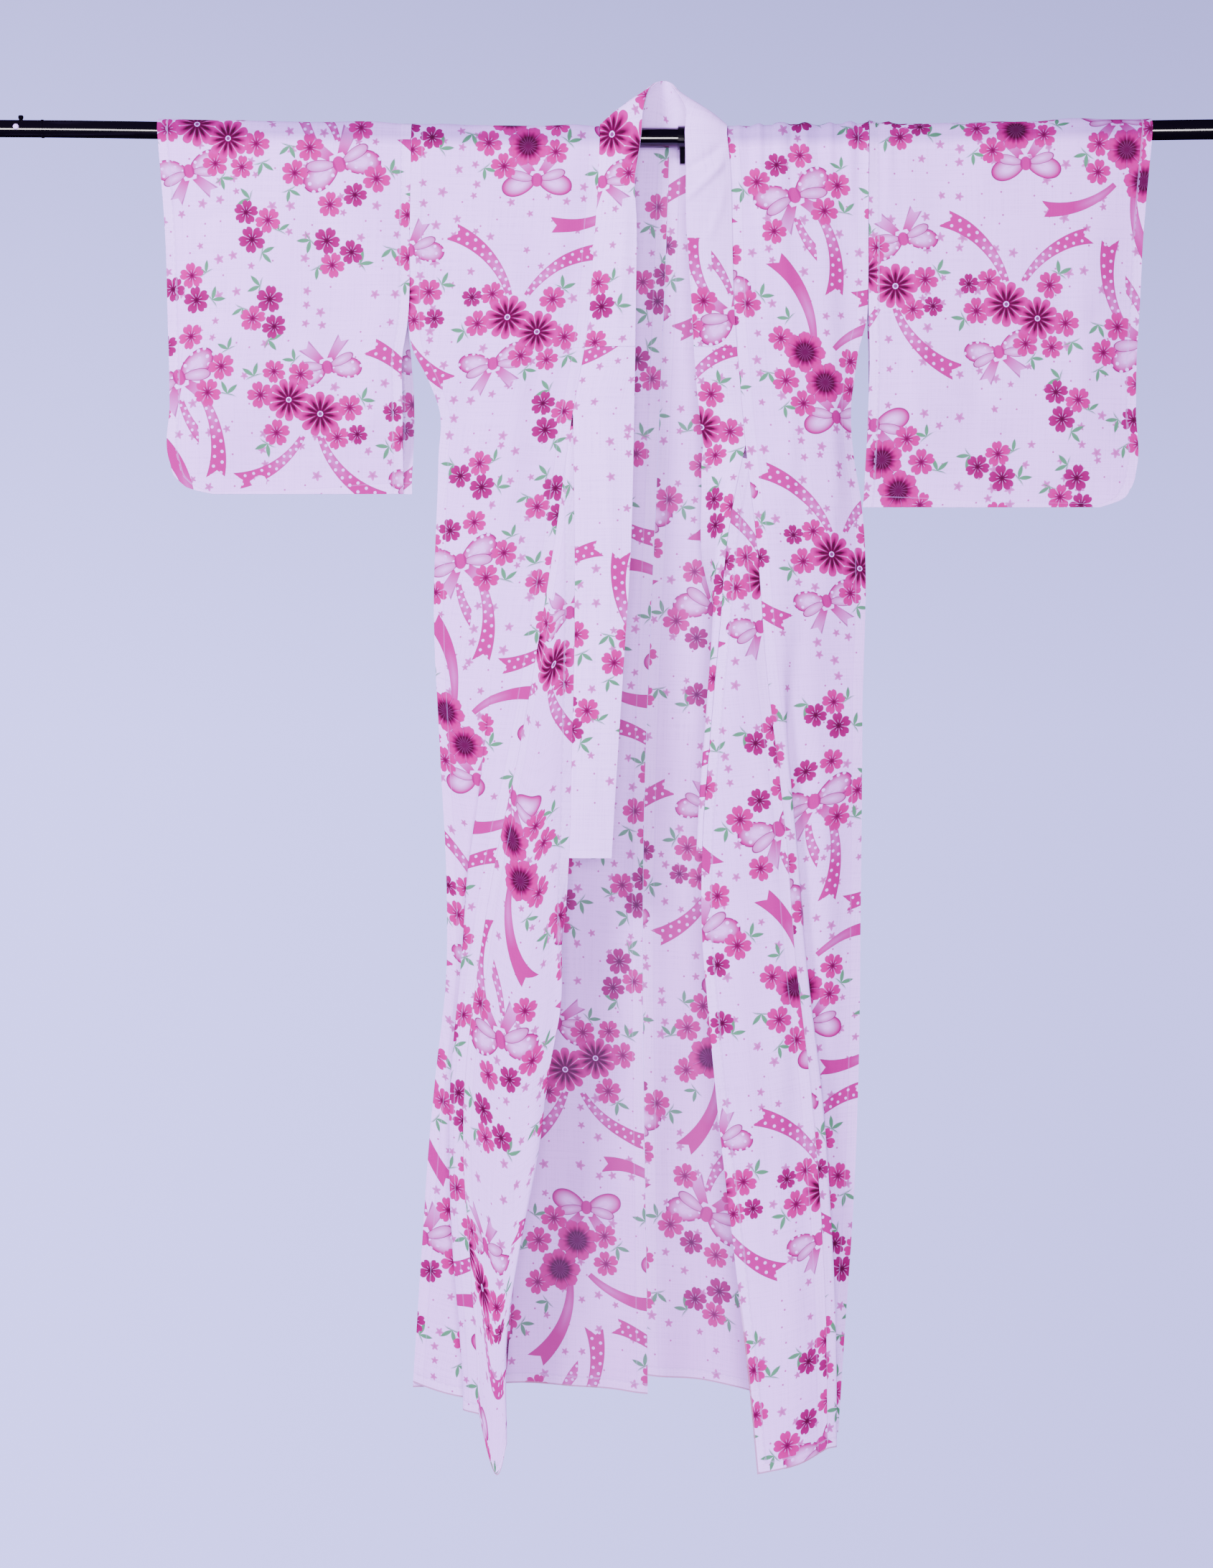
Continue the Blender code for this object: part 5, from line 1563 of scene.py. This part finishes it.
class YUKATA_OT_rod(bpy.types.Operator):
    """Finish the rod in gloss enamel and add its joint, spring button and stop."""
    bl_idname = "yukata.rod"
    bl_label = "Hanging rod"

    def execute(self, context):
        rod = context.scene.yukata_rod
        enamel = rod_enamel(rod.enamel[:])
        plastic = clouded("button_plastic", srgb(232, 232, 236), srgb(214, 214, 222),
                          600.0, 0.35)
        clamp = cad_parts["rod_clamp"]
        clamp.data.materials.clear()
        clamp.data.materials.append(enamel)
        for node, x0, x1, radius in (("rod_outer", ROD_STEP_X, ROD_HALF, ROD_THICK_R),
                                     ("rod_inner", -ROD_HALF, ROD_STEP_X, ROD_THIN_R)):
            reach = np.linspace(x0, x1, TUBE_RINGS)
            profile = [(x, radius) for x in reach]
            tube = self.turned(f"{node}_tube", (0, 0, 0), 0, enamel, profile,
                               rod_height(reach))
            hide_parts(node)
        for name, x, axis, look, profile in (
                ("rod_joint", rod.joint_x, 0, enamel, JOINT_PROFILE),
                ("rod_button", rod.button_x, 1, plastic, BUTTON_PROFILE),
                ("rod_stop", rod.button_x + STOP_ASIDE, 2, enamel, STOP_PROFILE)):
            self.turned(name, (x, 0, rod_height(x)), axis, look, profile)
        return {"FINISHED"}

    @staticmethod
    def turned(name, place, axis, look, profile, rise=0.0):
        """A profile of distance along an axis and radius, carried round that axis.

        Axis 0 runs along the rod, 1 to the front and 2 upwards; rise lifts each ring.
        """
        ahead, first, second = np.array((
            ((1, 0, 0), (0, 1, 0), (0, 0, 1)), ((0, -1, 0), (1, 0, 0), (0, 0, 1)),
            ((0, 0, 1), (1, 0, 0), (0, 1, 0)))[axis], float)
        angle = np.linspace(0, 2 * math.pi, TUBE_SIDES + 1)[:-1, None]
        along, radius = (part[:, None, None] for part in np.array(profile).T)
        rings = (np.array(place) + ahead * along
                 + radius * (first * np.cos(angle) + second * np.sin(angle)))
        rings[..., 2] += np.reshape(rise, (-1, 1))
        mesh = ringed(name, rings, look)
        mesh.shade_smooth()
        mesh.set_sharp_from_angle(angle=math.radians(40))
        piece = linked(name, mesh)
        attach(piece, "root")
        return piece


class YUKATA_OT_stage(bpy.types.Operator):
    """Set the floor, the pale air, the lights and the camera."""
    bl_idname = "yukata.stage"
    bl_label = "Stage, lights and camera"

    def execute(self, context):
        stage = context.scene.yukata_stage
        self.floor(stage)
        context.scene.world = self.air(stage)
        powers = (stage.key_power, stage.fill_power, stage.line_power)
        for (name, size, place, aim), power in zip(LIGHTS, powers):
            strip = name == "line_light"
            light = bpy.data.lights.new(name, "AREA")
            light.shape = "RECTANGLE"
            light.size, light.size_y = size
            light.energy = power
            light.color = STRIP_WHITE if strip else stage.cast
            lamp = linked(name, light)
            lamp.location = place
            way = np.array(aim) - np.array(place)
            pitch = math.atan2(math.hypot(way[0], way[1]), -way[2])
            lamp.rotation_euler = (pitch, 0, math.atan2(-way[0], way[1]))
            lamp.visible_diffuse, lamp.visible_glossy = not strip, strip
            lamp.visible_camera = False
        camera = bpy.data.cameras.new("camera")
        camera.sensor_fit = "HORIZONTAL"
        camera.sensor_width = 36
        camera.lens = CAMERA_LENS
        view = linked("camera", camera)
        view.location = CAMERA_PLACE
        view.rotation_euler = (math.pi / 2, 0, 0)
        context.scene.camera = view
        return {"FINISHED"}

    @staticmethod
    def air(stage):
        """The empty air: backdrop where it is seen, dim in gloss, the light's cast elsewhere.

        The backdrop is multiplied by a tint of painted shade to one side and by another
        upwards.
        """
        world = bpy.data.worlds.new("air")
        g = Graph(world)
        seen = g.node("ShaderNodeLightPath", {}, {}, "Is Camera Ray")
        mirrored = g.other(seen, "Is Glossy Ray")
        around = g.node("ShaderNodeBackground", {}, {
            "Color": (*stage.cast, 1),
            "Strength": (1.0 - mirrored * GLOSS_DIM) * stage.ambience})
        aside, _ = g.parts(g.node("ShaderNodeTexCoord", {}, {}, "Generated"))
        colour = stage.air[:]
        # Painted shade: the backdrop darkens towards +X and upwards
        for way, (begin, span, tint) in ((aside, AIR_SHADE_ASIDE), (g.other(aside, 2), AIR_SHADE_ABOVE)):
            colour = g.tint((way - begin).fade(span), colour, tint)
        behind = g.node("ShaderNodeBackground", {}, {
            "Color": colour, "Strength": stage.air_strength})
        both = g.node("ShaderNodeMixShader", {}, {0: seen, 1: around, 2: behind})
        g.node("ShaderNodeOutputWorld", {}, {"Surface": both})
        return world

    @staticmethod
    def floor(stage):
        """A round floor: rings of points at r (cos a, sin a), from its edge to its middle."""
        angle = np.linspace(0, 2 * math.pi, 97)[:-1]
        radius = np.linspace(1, 0.05, 8)[:, None] * stage.floor_radius
        rings = np.stack(np.broadcast_arrays(radius * np.cos(angle), radius * np.sin(angle),
                                             stage.floor_z), axis=-1)
        paint = clouded("floor_paint", srgb(206, 209, 226), srgb(214, 217, 232), 3.0, 0.7)
        linked("floor", ringed("floor", rings, paint, closed=False))


class YUKATA_PT_panel(bpy.types.Panel):
    """Lists the pieces of the robe."""
    bl_label = "Yukata on a rod"
    bl_idname = "YUKATA_PT_panel"
    bl_space_type = "VIEW_3D"
    bl_region_type = "UI"
    bl_category = "Yukata"

    def draw(self, context):
        for key, _ in SETTINGS:
            settings = getattr(context.scene, key)
            for name in settings.__annotations__:
                self.layout.prop(settings, name)
        for operator in OPERATORS:
            self.layout.operator(operator.bl_idname)


SETTINGS = (("yukata_cloth", YukataCloth), ("yukata_rod", YukataRod),
            ("yukata_stage", YukataStage))
OPERATORS = (YUKATA_OT_stage, YUKATA_OT_rod, YUKATA_OT_body, YUKATA_OT_overlaps,
             YUKATA_OT_sleeves, YUKATA_OT_collar)


def register():
    for key, group in SETTINGS:
        bpy.utils.register_class(group)
        setattr(bpy.types.Scene, key, bpy.props.PointerProperty(type=group))
    for item in OPERATORS + (YUKATA_PT_panel,):
        bpy.utils.register_class(item)


def unregister():
    for item in reversed(OPERATORS + (YUKATA_PT_panel,)):
        bpy.utils.unregister_class(item)
    for key, group in reversed(SETTINGS):
        delattr(bpy.types.Scene, key)
        bpy.utils.unregister_class(group)


def main():
    register()
    bpy.ops.yukata.stage()
    bpy.ops.yukata.rod()
    bpy.ops.yukata.body()
    bpy.ops.yukata.overlaps()
    bpy.ops.yukata.sleeves()
    bpy.ops.yukata.collar()


if __name__ == "__main__":
    main()
